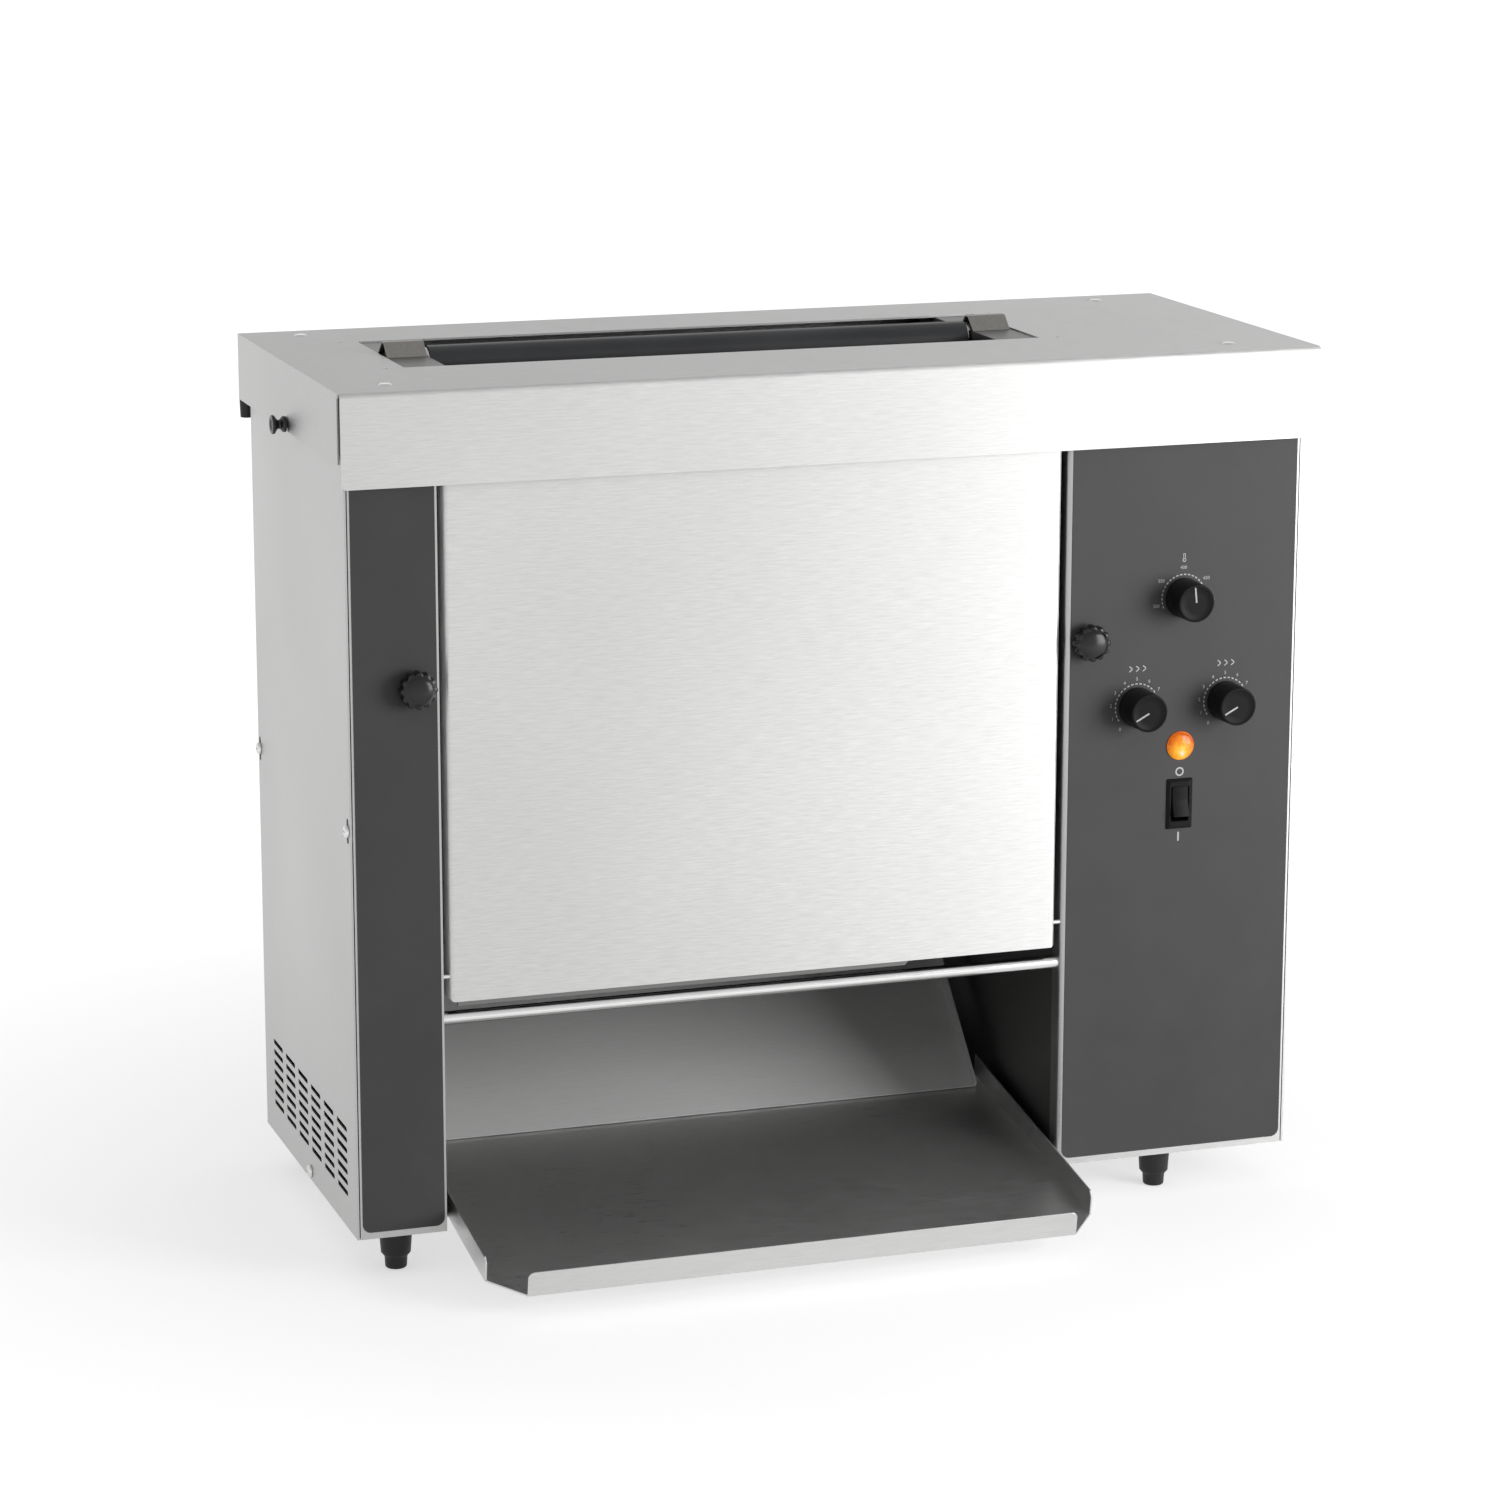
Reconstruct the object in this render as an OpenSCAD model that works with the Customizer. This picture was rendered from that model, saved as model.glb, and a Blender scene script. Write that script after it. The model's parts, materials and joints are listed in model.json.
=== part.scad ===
// Vertical contact bun toaster: two belts carry bun halves down past a heated platen.
// Millimetres. X runs across the front, Y runs to the back, Z is up from the counter.
// The origin lies on the counter, midway between the tray's lip and the cover's rear.

/* [Cover] */
// width of the top cover over its side skirts
cover_w = 600; // [594:1:630]
// depth of the top cover over its front and rear skirts
cover_d = 260; // [258:1:275]
// height of the front skirt
front_skirt = 54; // [48:1:60]
// height of the side and rear skirts
side_skirt = 40; // [40:1:46]
// distance from the bun opening to the cover's rear
opening_rear = 60; // [57:1:63]
// depth of the bun opening
opening_d = 111; // [108:1:113]
// bend radius along the cover's front and rear edges
cover_bend = 3; // [2:0.5:4]
// radius of the front skirt's lower corners
skirt_r = 3; // [1:0.5:6]

/* [Body] */
// height from the counter to the top of the cover
total_h = 520; // [516:1:540]
// height of the rubber feet
foot_h = 25.5; // [22:0.5:27]
// thickness of the sheet steel
sheet = 1.2; // [1:0.1:1.3]
// overhang of the cover past the body's left side
overhang_left = 3; // [3:0.5:6]
// overhang of the cover past the body's right side
overhang_right = 10; // [8:0.5:12]
// overhang of the cover past the body's rear
overhang_rear = 21; // [20:0.5:22]
// setback of the front panels behind the cover's front edge
front_setback = 4; // [3:0.5:5]
// width of the left front panel, measured from the body's left side
left_panel_w = 53.5; // [50:0.5:56]
// room between a bun slot's end and the bay, both ends together
bay_room = 41; // [38:1:46]
// depth of the return flanges beside the bay
return_d = 12.5; // [12:0.5:14]

/* [Door] */
// height of the front door
door_h = 302; // [298:1:306]
// gap between the door and each front panel
door_gap = 4; // [3:0.5:5]
// gap between the door and the cover's front skirt
door_top_gap = 0.6; // [0.5:0.1:4]
// radius of the bends along the door's sides
door_bend = 2.5; // [2:0.5:3]
// height of the hinge pins above the door's lower edge
pin_rise = 15; // [14:1:17]
// diameter of the hinge pins
pin_d = 3; // [2.8:0.1:3.6]
// diameter of the guard rod under the door
rod_d = 8; // [7:0.5:9]

/* [Conveyors] */
// length of the bun slots
slot_w = 342; // [336:1:345]
// shift of the bun slots to the right of the bay's middle
slot_shift = 9.5; // [8:0.5:10]
// width of the end caps beside the bun slots
cap_w = 25; // [22:1:28]
// thickness of the heated platen
platen_t = 18; // [16:1:20]
// gap between the release sheet and the front belt, for the bun's crown
crown_gap = 40; // [37:1:41]
// gap between the release sheet and the rear belt, for the bun's heel
heel_gap = 36; // [33:1:37]
// diameter of the four belt rollers
roller_d = 34; // [32:1:35]
// distance between the two rollers of a belt
belt_span = 290; // [284:1:294]
// thickness of the belts
belt_t = 1.5; // [1:0.1:2]
// diameter of the roller shafts
shaft_d = 10; // [9:0.5:11]

/* [Discharge] */
// reach of the tray in front of the cover
tray_reach = 86; // [80:1:90]
// tilt of the tray in degrees
tray_tilt = 9; // [8:0.25:9.5]
// height of the tray's side flanges
tray_flange = 14.5; // [12:0.5:16]
// gap between the tray and each front panel
tray_gap = 4.5; // [3.5:0.5:6]
// height of the tray's front lip
lip_h = 15; // [12:0.5:17]
// gap between the discharge chute and each side of the bay
chute_gap = 11.5; // [10:0.5:16]

/* [Controls] */
// diameter of the control knobs
knob_d = 24; // [21:0.5:25]
// diameter of the fluted adjuster knobs
adjuster_d = 22; // [20:0.5:23]
// diameter of the pilot lamp's lens
lens_d = 17.6; // [15:0.2:19]
// distance between the two speed knobs
knob_pitch = 57.5; // [54:0.5:62]
// width of the rocker switch's frame
switch_w = 17; // [16:0.5:19]
// height of the rocker switch's frame
switch_h = 31; // [30:0.5:34]

/* [Hidden] */
$fn = 48;

// clearances
run_fit = 0.05;
press_fit = 0.02;
part_gap = 0.5;
belt_gap = 0.35;
seam = 0.6;
corner_slit = 1;
tray_fit = 0.4;

// outer faces of the body and cover
xl = -cover_w / 2 + overhang_left;
xr = cover_w / 2 - overhang_right;
yc = (tray_reach - cover_d) / 2;
yf = yc + front_setback;
ye = yc + cover_d;
yr = ye - overhang_rear;
zt = total_h;
zb = foot_h;
zs = zt - sheet - part_gap;
wall_top = zt - 8;

// bay between the front panels
bl = xl + left_panel_w;
br = bl + slot_w + bay_room;
bc = (bl + br) / 2;
pl = xl + sheet + seam;
pr = xr - sheet - seam;
wall_l = bl - 2 * sheet;
wall_r = br + sheet;

// bun slots, platen and belts
sc = bc + slot_shift;
sl = sc - slot_w / 2;
sr = sc + slot_w / 2;
oy1 = ye - opening_rear;
oy0 = oy1 - opening_d;
py = (oy0 + oy1) / 2;
cap_z = zt - 0.8;
plate_t = 2;
ridge_z = zt - 6;
cloth_gap = 0.9;
cloth_t = 0.6;
cloth_r = platen_t / 2 + cloth_gap + cloth_t;
belt_r = roller_d / 2 + belt_gap + belt_t;
yfr = py - cloth_r - crown_gap - belt_r;
yrr = py + cloth_r + heel_gap + belt_r;
zhi = zt - 36;
zlo = zhi - belt_span;
plate_z0 = zlo - 26;
plate_z1 = zt - sheet - 1.4;
heater_step = 75;
heater_z = [for (i = [0:3]) zt - 50 - heater_step * i];
platen_foot = zlo + 8;
heater_r = 5;

// front door
zd1 = zt - front_skirt - door_top_gap;
zd0 = zd1 - door_h;
pin_y = yf + sheet + pin_d / 2 + part_gap;
pin_z = zd0 + pin_rise;
rod_y = yf + 7;
rod_z = zd0 - 11;

// tray, in its own tilted frame
tray_nose = 22.8;
tray_len = 193;
tray_y = yc - tray_reach + tray_nose * cos(tray_tilt) + lip_h * sin(tray_tilt);
tray_z = zb - 9.5;
rail_t = 2;
rail_y = (zb + sheet + part_gap + rail_t + tray_fit - tray_z) / sin(tray_tilt);
tl = bl + tray_gap;
tr = br - tray_gap;

// controls
panel_bend = 3;
panel_c = (br + xr) / 2;
temp_z = zt - 147;
speed_z = zt - 211.8;
pilot_z = zt - 237.6;
switch_z = zt - 273.4;
knob_reach = 19.7;
shaft_r = 3;
adj_side = 14;
adj_xl = bl - adj_side;
adj_xr = br + adj_side;
adj_z = zt - 169.6;
adj_r = 4;
bar_half = 6;
overlay_t = 0.5;
thumb_y = yc + cover_d / 2;
thumb_z = zt - 36;
thumb_r = 2.5;
fan_z = zt - 112;
fan_w = 80;
fan_d = 25;
gland_x = xr - 60;
gland_z = zb + 40;
gland_r = 4.5;
screw_r = 2;

steel = [0.80, 0.80, 0.79];
dark = [0.10, 0.10, 0.10];
grey = [0.32, 0.32, 0.33];
alu = [0.70, 0.70, 0.71];

// a box between two corners
module box(x0, x1, y0, y1, z0, z1) {
  translate([x0, y0, z0]) cube([x1 - x0, y1 - y0, z1 - z0]);
}

// a flat rectangle between two corners
module rect(u0, v0, u1, v1) {
  translate([u0, v0]) square([u1 - u0, v1 - v0]);
}

// a plate drawn in Y and Z, thick along X
module plate_x(x, t) {
  translate([x, 0, 0]) rotate([90, 0, 90]) linear_extrude(t) children();
}

// a plate drawn in X and Z, thick along Y
module plate_y(y, t) {
  translate([0, y + t, 0]) rotate([90, 0, 0]) linear_extrude(t) children();
}

// a flat slot with round ends, lying along the first axis
module slot_u(u, v, len, w) {
  translate([u, v]) square([len - w, w], center = true);
  for (s = [-1, 1]) translate([u + s * (len - w) / 2, v]) circle(d = w);
}

// a flat slot with round ends, standing along the second axis
module slot_v(u, v, len, w) {
  translate([u, v]) square([w, len - w], center = true);
  for (s = [-1, 1]) translate([u, v + s * (len - w) / 2]) circle(d = w);
}

// a cylinder along X
module cyl_x(x0, x1, y, z, r) {
  translate([x0, y, z]) rotate([0, 90, 0]) cylinder(r = r, h = x1 - x0);
}

// a cylinder along Y
module cyl_y(y0, y1, x, z, r) {
  translate([x, y1, z]) rotate([90, 0, 0]) cylinder(r = r, h = y1 - y0);
}

// a bend that joins a front sheet to its return, about a centre at x; side is -1 for a return on the left
module front_bend(x, r, side, z0, z1) {
  u = side < 0 ? -r : 0;
  translate([x, yf + r, z0]) linear_extrude(z1 - z0) intersection() {
    difference() {
      circle(r = r);
      circle(r = r - sheet);
    }
    rect(u, -r, u + r, 0);
  }
}

// what is cut away at a rounded lower corner; side is -1 for a corner on the left
module lower_corner(x, z, r, side, y0, y1) {
  translate([x - side * r, 0, z + r]) rotate([0, side > 0 ? 0 : 90, 0]) difference() {
    box(0, r + 1, y0, y1, -r - 1, 0);
    cyl_y(y0 - 1, y1 + 1, 0, 0, r);
  }
}

// the tray's tilted frame: Y along the floor, Z square to it
module tray_frame() {
  translate([0, tray_y, tray_z]) rotate([tray_tilt, 0, 0]) children();
}

// positions of the screws on a side panel, as Y and Z pairs
side_screws = [[yf + 5.5, zt - 251.5], [yr - 4.2, zt - 253], [yc + 120.7, zb + 5.5]];

// base plate with turned-up sides and a cut where the tray leaves the bay
module base_pan() {
  color(steel) difference() {
    union() {
      box(xl + sheet, xr - sheet, yf + sheet, yr - sheet, zb, zb + sheet);
      box(xl + sheet, xl + 2 * sheet, yf + 22, yr - 22, zb, zb + 13);
      box(xr - 2 * sheet, xr - sheet, yf + 22, yr - 22, zb, zb + 13);
    }
    box(bl - sheet, br + panel_bend, yf, yf + 24, zb - 1, zb + 2);
    cyl_x(xl, xl + 4, side_screws[2][0], side_screws[2][1], screw_r + press_fit);
    cyl_x(xr - 4, xr, side_screws[2][0], side_screws[2][1], screw_r + press_fit);
  }
}

// four tapered rubber feet with a stepped sole
module feet() {
  color(dark) for (x = [xl + 27.5, xr - 77.5], y = [yf + 20, yr - 26])
    translate([x, y, 0]) rotate_extrude()
      polygon([[0, 0], [5.6, 0], [6.4, 0.8], [6.8, 7], [8.8, 9.5], [9.8, zb - 2], [9.8, zb], [0, zb]]);
}

// side panel outline with vent slots, screw slots and the thumb screw's hole
module side_sheet() {
  difference() {
    rect(yf, zb, yr, zs);
    for (c = [0:5], r = [0:6]) slot_u(yc + 38.5 + 33 * c, zb + 60.1 - 6.5 * r, 25, 3);
    for (p = [0, 1]) slot_v(side_screws[p][0], side_screws[p][1], 15, 2 * screw_r + 0.4);
    slot_u(side_screws[2][0], side_screws[2][1], 2 * screw_r + 3, 2 * screw_r + 0.4);
    translate([thumb_y, thumb_z]) circle(r = thumb_r + run_fit);
  }
}

// clinch nut that takes a thumb screw
module clinch_nut(x0, x1) {
  difference() {
    cyl_x(x0, x1, thumb_y, thumb_z, 6);
    cyl_x(x0 - 1, x1 + 1, thumb_y, thumb_z, thumb_r + run_fit);
  }
}

// left side panel with its top flange
module left_side_panel() {
  color(steel) union() {
    plate_x(xl, sheet) side_sheet();
    box(xl, xl + 12, yf + 2, yr - 2, zs - sheet, zs);
    clinch_nut(xl + sheet, xl + sheet + 6);
  }
}

// right side panel with its top flange
module right_side_panel() {
  color(steel) union() {
    plate_x(xr - sheet, sheet) side_sheet();
    box(xr - 12, xr, yf + 2, yr - 2, zs - sheet, zs);
    clinch_nut(xr - sheet - 6, xr - sheet);
  }
}

// rear panel with side flanges, fan grille, vents and the cord gland's hole
module rear_panel() {
  color(steel) difference() {
    union() {
      plate_y(yr - sheet, sheet) difference() {
        rect(xl + sheet, zb, xr - sheet, zs - 2 * sheet);
        for (i = [-4:4]) slot_u(panel_c, fan_z + 8 * i, 2 * sqrt(1444 - 64 * i * i), 4);
        for (c = [0:4], r = [0:6]) slot_u(bc - 120 + 60 * c, zb + 46 + 7 * r, 40, 3);
        translate([gland_x, gland_z]) circle(r = 8 + press_fit);
      }
      box(xl + sheet, xl + 2 * sheet, yr - 14, yr - sheet, zb + 14, zs - 2 * sheet);
      box(xr - 2 * sheet, xr - sheet, yr - 14, yr - sheet, zb + 14, zs - 2 * sheet);
    }
    cyl_x(xl, xl + 4, side_screws[1][0], side_screws[1][1], screw_r + press_fit);
    cyl_x(xr - 4, xr, side_screws[1][0], side_screws[1][1], screw_r + press_fit);
  }
}

// outline of a wall beside the bay from y0 back, with the window for the tie bar
module wall_sheet(y0) {
  difference() {
    rect(y0, zb + sheet, yr - sheet, wall_top);
    rect(yfr - bar_half - 3, adj_z - bar_half - 4, yfr + bar_half + 11, adj_z + bar_half + 4);
    children();
  }
}

// wall between the left compartment and the bay
module left_inner_wall() {
  color(steel) plate_x(wall_l, sheet) wall_sheet(yf + sheet);
}

// wall between the bay and the right compartment, with shaft and heater holes
module right_inner_wall() {
  color(steel) plate_x(wall_r, sheet) wall_sheet(yf + panel_bend) {
    translate([yfr, zlo]) circle(r = shaft_d / 2 + 3);
    translate([yrr, zlo]) circle(r = shaft_d / 2 + 3);
    for (z = heater_z) translate([py, z]) circle(r = heater_r + 3);
  }
}

// left front panel with returns beside the bay and behind the side panel
module left_front_panel() {
  color(steel) difference() {
    union() {
      plate_y(yf, sheet) rect(pl, zb, bl, wall_top);
      box(bl - sheet, bl, yf, yf + return_d, zb, wall_top);
      box(pl, pl + sheet, yf, yf + 14, zb + 14, wall_top);
    }
    cyl_y(yf - 1, yf + 3, adj_xl, adj_z, adj_r + run_fit);
    cyl_x(bl - 3, bl + 1, rod_y, rod_z, rod_d / 2 + press_fit);
    cyl_x(bl - 3, bl + 1, pin_y, pin_z, pin_d / 2 + press_fit);
    cyl_x(pl - 1, pl + 3, side_screws[0][0], side_screws[0][1], screw_r + press_fit);
  }
}

// dark overlay outline with round lower corners
module overlay_outline(x0, x1) {
  z0 = zb + 4;
  rect(x0 + 5, z0, x1 - 5, wall_top - 2);
  rect(x0, z0 + 5, x1, wall_top - 2);
  for (x = [x0 + 5, x1 - 5]) translate([x, z0 + 5]) circle(r = 5);
}

// dark overlay on the left front panel
module left_front_overlay() {
  color(grey) plate_y(yf - overlay_t, overlay_t) difference() {
    overlay_outline(pl + 1.4, bl - 1.4);
    translate([adj_xl, adj_z]) circle(r = adj_r + 1);
  }
}

// positions of the control shafts, as X and Z pairs
control_xz = [[panel_c, temp_z], [panel_c - knob_pitch / 2, speed_z], [panel_c + knob_pitch / 2, speed_z]];

// round and square holes through the control panel and its overlay
module control_holes(grow) {
  for (p = control_xz) translate(p) circle(r = shaft_r + run_fit + grow);
  translate([adj_xr, adj_z]) circle(r = adj_r + run_fit + grow);
  translate([panel_c, pilot_z]) circle(r = 6 + press_fit);
  translate([panel_c, switch_z]) square([switch_w - 3, switch_h - 3], center = true);
}

// control panel with returns beside the bay and behind the side panel
module control_panel() {
  color(steel) difference() {
    union() {
      plate_y(yf, sheet) difference() {
        rect(br + panel_bend, zb, pr, wall_top);
        control_holes(0);
      }
      front_bend(br + panel_bend, panel_bend, -1, zb, wall_top);
      box(br, br + sheet, yf + panel_bend, yf + return_d, zb, wall_top);
      box(pr - sheet, pr, yf, yf + 14, zb + 14, wall_top);
    }
    cyl_x(br - 1, br + 3, rod_y, rod_z, rod_d / 2 + press_fit);
    cyl_x(br - 1, br + 3, pin_y, pin_z, pin_d / 2 + press_fit);
    cyl_x(pr - 3, pr + 1, side_screws[0][0], side_screws[0][1], screw_r + press_fit);
  }
}

// dark overlay on the control panel
module control_overlay() {
  color(grey) plate_y(yf - overlay_t, overlay_t) difference() {
    overlay_outline(br + panel_bend, pr - 1.4);
    control_holes(0.8);
  }
}

// a pan-head screw along X; side is -1 for a head on the left
module side_screw(x, y, z, side) {
  translate([x, y, z]) rotate([0, 90 * side, 0]) union() {
    cylinder(r = 3.9, h = 1.2);
    translate([0, 0, 1.2]) cylinder(r1 = 3.9, r2 = 2.4, h = 1.2);
    translate([0, 0, -6]) cylinder(r = screw_r, h = 7);
  }
}

// six pan-head screws that hold the side panels
module side_panel_screws() {
  color(alu) for (p = side_screws) {
    side_screw(xl, p[0], p[1], -1);
    side_screw(xr, p[0], p[1], 1);
  }
}

// the chute's side edges, and its folds from its lower edge up to the rear panel
cl = bl + chute_gap;
cr = br - chute_gap;
chute_y = [py - 34.5, py + 30.5, yr - sheet - 2.4];
chute_foot = tray_z + sheet / cos(tray_tilt) + tan(tray_tilt) * (chute_y[0] - tray_y) + 1.6;
chute_top = plate_z0 + 5;
chute_mid = chute_foot + 0.4 * (chute_top - chute_foot);
chute_p = [[chute_y[0], chute_foot], [chute_y[1], chute_mid], [chute_y[2], chute_top]];

// chute that turns the buns forward, with tapered side flanges
module discharge_chute() {
  a = chute_p[0];
  b = chute_p[1];
  c = chute_p[2];
  d = yr - sheet;
  lug_y = b[0] + 18;
  lug_z = b[1] + 28;
  under = [[d, c[1] - 1.2], [b[0] + 0.9, b[1] - 0.9], [a[0] + 0.7, a[1] - 0.9]];
  color(steel) union() {
    plate_x(cl, cr - cl) polygon(concat([a, b, c, [c[0], c[1] + 14], [d, c[1] + 14]], under));
    for (x = [cl, cr - sheet])
      plate_x(x, sheet) polygon(concat([[a[0] - 1.5, a[1] + 2.5], [b[0] - 9, b[1] + 10],
        [c[0] - 10, c[1] + 14], [d, c[1] + 14]], under));
    for (s = [[bl - sheet, cl + sheet], [cr - sheet, br + sheet]])
      box(s[0], s[1], lug_y, lug_y + 10, lug_z - 3, lug_z + 7);
  }
}

// round rod across the bay under the door
module guard_rod() {
  color(alu) cyl_x(bl - sheet, br + sheet, rod_y, rod_z, rod_d / 2);
}

// two sloping rails that carry the tray
module tray_rails() {
  color(steel) tray_frame() for (s = [[bl - sheet, tl + 8], [tr - 8, br + sheet]])
    box(s[0], s[1], rail_y, tray_len - 4, -rail_t - tray_fit, -tray_fit);
}

// sloping tray with side flanges, cut corners and a front lip
module bun_tray() {
  nose = 19;
  lip_y = -tray_nose;
  color(steel) tray_frame() union() {
    linear_extrude(sheet) polygon([[tl, tray_len], [tl, 0], [tl + nose, lip_y], [tr - nose, lip_y], [tr, 0],
      [tr, tray_len]]);
    for (x = [tl, tr - sheet])
      plate_x(x, sheet) polygon([[0, 0], [tray_len, 0], [tray_len, tray_flange], [3, tray_flange],
        [0, tray_flange - 3]]);
    plate_y(lip_y, sheet) union() {
      rect(tl + nose, 0, tr - nose, lip_h - 4);
      rect(tl + nose + 4, 0, tr - nose - 4, lip_h);
      for (x = [tl + nose + 4, tr - nose - 4]) translate([x, lip_h - 4]) circle(r = 4);
    }
  }
}

// front door: a shallow pan that swings on two pins
module front_door() {
  x0 = bl + door_gap;
  x1 = br - door_gap;
  b = door_bend;
  color(steel) difference() {
    union() {
      plate_y(yf, sheet) rect(x0 + b, zd0, x1 - b, zd1);
      front_bend(x0 + b, b, -1, zd0, zd1);
      front_bend(x1 - b, b, 1, zd0, zd1);
      box(x0, x0 + sheet, yf + b, yf + 14, zd0, zd1);
      box(x1 - sheet, x1, yf + b, yf + 14, zd0, zd1);
      box(x0, x1, yf + b, yf + 14, zd1 - sheet, zd1);
      box(x0 + b, x1 - b, yf, yf + 14, zd1 - sheet, zd1);
      for (x = [x0 + b, x1 - b]) translate([x, yf + b, zd1 - sheet]) cylinder(r = b, h = sheet);
    }
    lower_corner(x0, zd0, 3, -1, yf - 1, yf + 15);
    lower_corner(x1, zd0, 3, 1, yf - 1, yf + 15);
    cyl_x(x0 - 1, x0 + 4, pin_y, pin_z, pin_d / 2 + run_fit);
    cyl_x(x1 - 4, x1 + 1, pin_y, pin_z, pin_d / 2 + run_fit);
  }
}

// liner inside the door, with a tongue that shows under the door's edge
module door_liner() {
  x0 = bl + door_gap + sheet;
  x1 = br - door_gap - sheet;
  t0 = bl + door_gap + 6;
  t1 = x1 - 92;
  color(alu) plate_y(yf + 6.5, sheet)
    polygon([[x0, zd1 - sheet], [x0, zd0 + 6], [t0, zd0 + 6], [t0, zd0 - 4.6], [t1, zd0 - 4.6],
      [t1 + 8, zd0 + 6], [x1, zd0 + 6], [x1, zd1 - sheet]]);
}

// two hinge pins fixed in the panel returns
module door_pins() {
  color(alu) for (s = [[bl - sheet, bl + door_gap + 4], [br - door_gap - 4, br + sheet]])
    cyl_x(s[0], s[1], pin_y, pin_z, pin_d / 2);
}

// bent section of the cover from front skirt to rear skirt
module cover_section(y0, y1, z0f, z0r) {
  b = cover_bend;
  difference() {
    union() {
      rect(y0, z0f, y0 + b, zt - b);
      rect(y1 - b, z0r, y1, zt - b);
      rect(y0 + b, zt - b, y1 - b, zt);
      for (y = [y0 + b, y1 - b]) translate([y, zt - b]) circle(r = b);
    }
    rect(y0 + sheet, min(z0f, z0r) - 1, y1 - sheet, zt - b);
    rect(y0 + b, zt - b - 1, y1 - b, zt - sheet);
    for (y = [y0 + b, y1 - b]) translate([y, zt - b]) circle(r = b - sheet);
  }
}

// rivet positions on the cover, as X and Y pairs
rivet_xy = [[-cover_w / 2 + 34, yc + 28], [-cover_w / 2 + 34, ye - 24], [cover_w / 2 - 48, yc + 30],
  [cover_w / 2 - 48, ye - 26]];

// a side skirt's outline, with a notch that slides over the thumb screw
module skirt_outline() {
  difference() {
    rect(yc + cover_bend, zt - side_skirt, ye - cover_bend, zt);
    rect(yc + cover_bend - 1, zt - side_skirt - 1, yc + cover_bend + corner_slit, zt - cover_bend);
    rect(thumb_y - thumb_r - 0.6, zt - side_skirt - 1, thumb_y + thumb_r + 0.6, thumb_z);
    translate([thumb_y, thumb_z]) circle(r = thumb_r + 0.6);
  }
}

// lift-off top cover with the bun opening and skirts
module top_cover() {
  w = cover_w / 2;
  color(steel) difference() {
    union() {
      plate_x(-w + 1, cover_w - 2) cover_section(yc, ye, zt - front_skirt, zt - side_skirt);
      plate_x(-w, sheet) skirt_outline();
      plate_x(w - sheet, sheet) skirt_outline();
      box(-w, w, yc + cover_bend, ye - cover_bend, zt - sheet, zt);
      box(-w + 1, w - 1, ye - 17, ye - sheet, zt - side_skirt, zt - side_skirt + sheet);
    }
    box(sl - cap_w - 1, sr + cap_w + 1, oy0, oy1, zt - 3, zt + 1);
    for (x = [sl - cap_w - 12, sr + cap_w + 12], y = [oy0 - 1, oy1 + 1])
      translate([x, y, zt - 3]) cylinder(r = 1.4, h = 4);
    for (p = rivet_xy) translate([p[0], p[1], zt - 3]) cylinder(r = screw_r + press_fit, h = 4);
    for (s = [-1, 1]) lower_corner(s * (w - 1), zt - front_skirt, skirt_r, s, yc - 1, yc + sheet + 1);
  }
}

// four flat rivets in the cover
module cover_rivets() {
  color(alu) for (p = rivet_xy) translate([p[0], p[1], zt]) union() {
    cylinder(r1 = 4, r2 = 3.2, h = 0.8);
    translate([0, 0, -sheet - 1.6]) cylinder(r = screw_r, h = sheet + 2);
    translate([0, 0, -sheet - 1.6]) cylinder(r = 3.4, h = 1.6);
  }
}

// two rubber bumpers under the cover's rear corners
module rear_bumpers() {
  color(dark) for (s = [-1, 1]) translate([s * (cover_w / 2 - 4.4), ye - 4.4, zt - side_skirt - 11])
    cylinder(r1 = 4, r2 = 4.4, h = 11);
}

// spool-shaped thumb screw; side is -1 on the left
module thumb_screw(side) {
  w = cover_w / 2;
  inner = side < 0 ? w + xl + sheet + 6 : w - xr + sheet + 6;
  color(dark) translate([side * w, thumb_y, thumb_z]) rotate([0, 90 * side, 0]) union() {
    rotate_extrude() polygon([[0, 0.4], [4.7, 0.4], [4.7, 2.2], [2.7, 4], [2.7, 5.2], [5.6, 7.4], [5.6, 8.6],
      [5.2, 9], [4.2, 9], [2.5, 8.2], [0, 8.2]]);
    translate([0, 0, -inner]) cylinder(r = thumb_r, h = inner + 0.5);
  }
}

// thumb screw on the cover's left
module left_thumb_screw() {
  thumb_screw(-1);
}

// thumb screw on the cover's right
module right_thumb_screw() {
  thumb_screw(1);
}

// outline of a conveyor plate with the shaft bores and the tie bar's window
module conveyor_sheet() {
  difference() {
    rect(yfr - 18, plate_z0, yrr + 14, plate_z1);
    for (p = [[yfr, zlo], [yrr, zlo], [yrr, zhi]]) translate(p) circle(r = shaft_d / 2 + run_fit);
    rect(yfr - bar_half - 3, adj_z - bar_half - 4, yfr + bar_half + 11, adj_z + bar_half + 4);
    children();
  }
}

// left plate that carries the rollers, with its end cap
module left_conveyor_plate() {
  color(steel) union() {
    plate_x(sl - plate_t, plate_t) conveyor_sheet();
    box(sl - cap_w, sl, oy0 + 1, oy1 - 1, plate_z1, cap_z);
  }
}

// right plate that carries the rollers, with its end cap and heater holes
module right_conveyor_plate() {
  color(steel) union() {
    plate_x(sr, plate_t) conveyor_sheet() for (z = heater_z) translate([py, z]) circle(r = heater_r + 1);
    box(sr, sr + cap_w, oy0 + 1, oy1 - 1, plate_z1, cap_z);
  }
}

// round spacers between the conveyor plates and the bay walls
module plate_standoffs() {
  color(alu) for (y = [py - 30, py + 34], z = [zt - 62, zt - 300]) {
    cyl_x(bl - sheet, sl - plate_t, y, z, 6);
    cyl_x(sr + plate_t, br + sheet, y, z, 6);
  }
}

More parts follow.
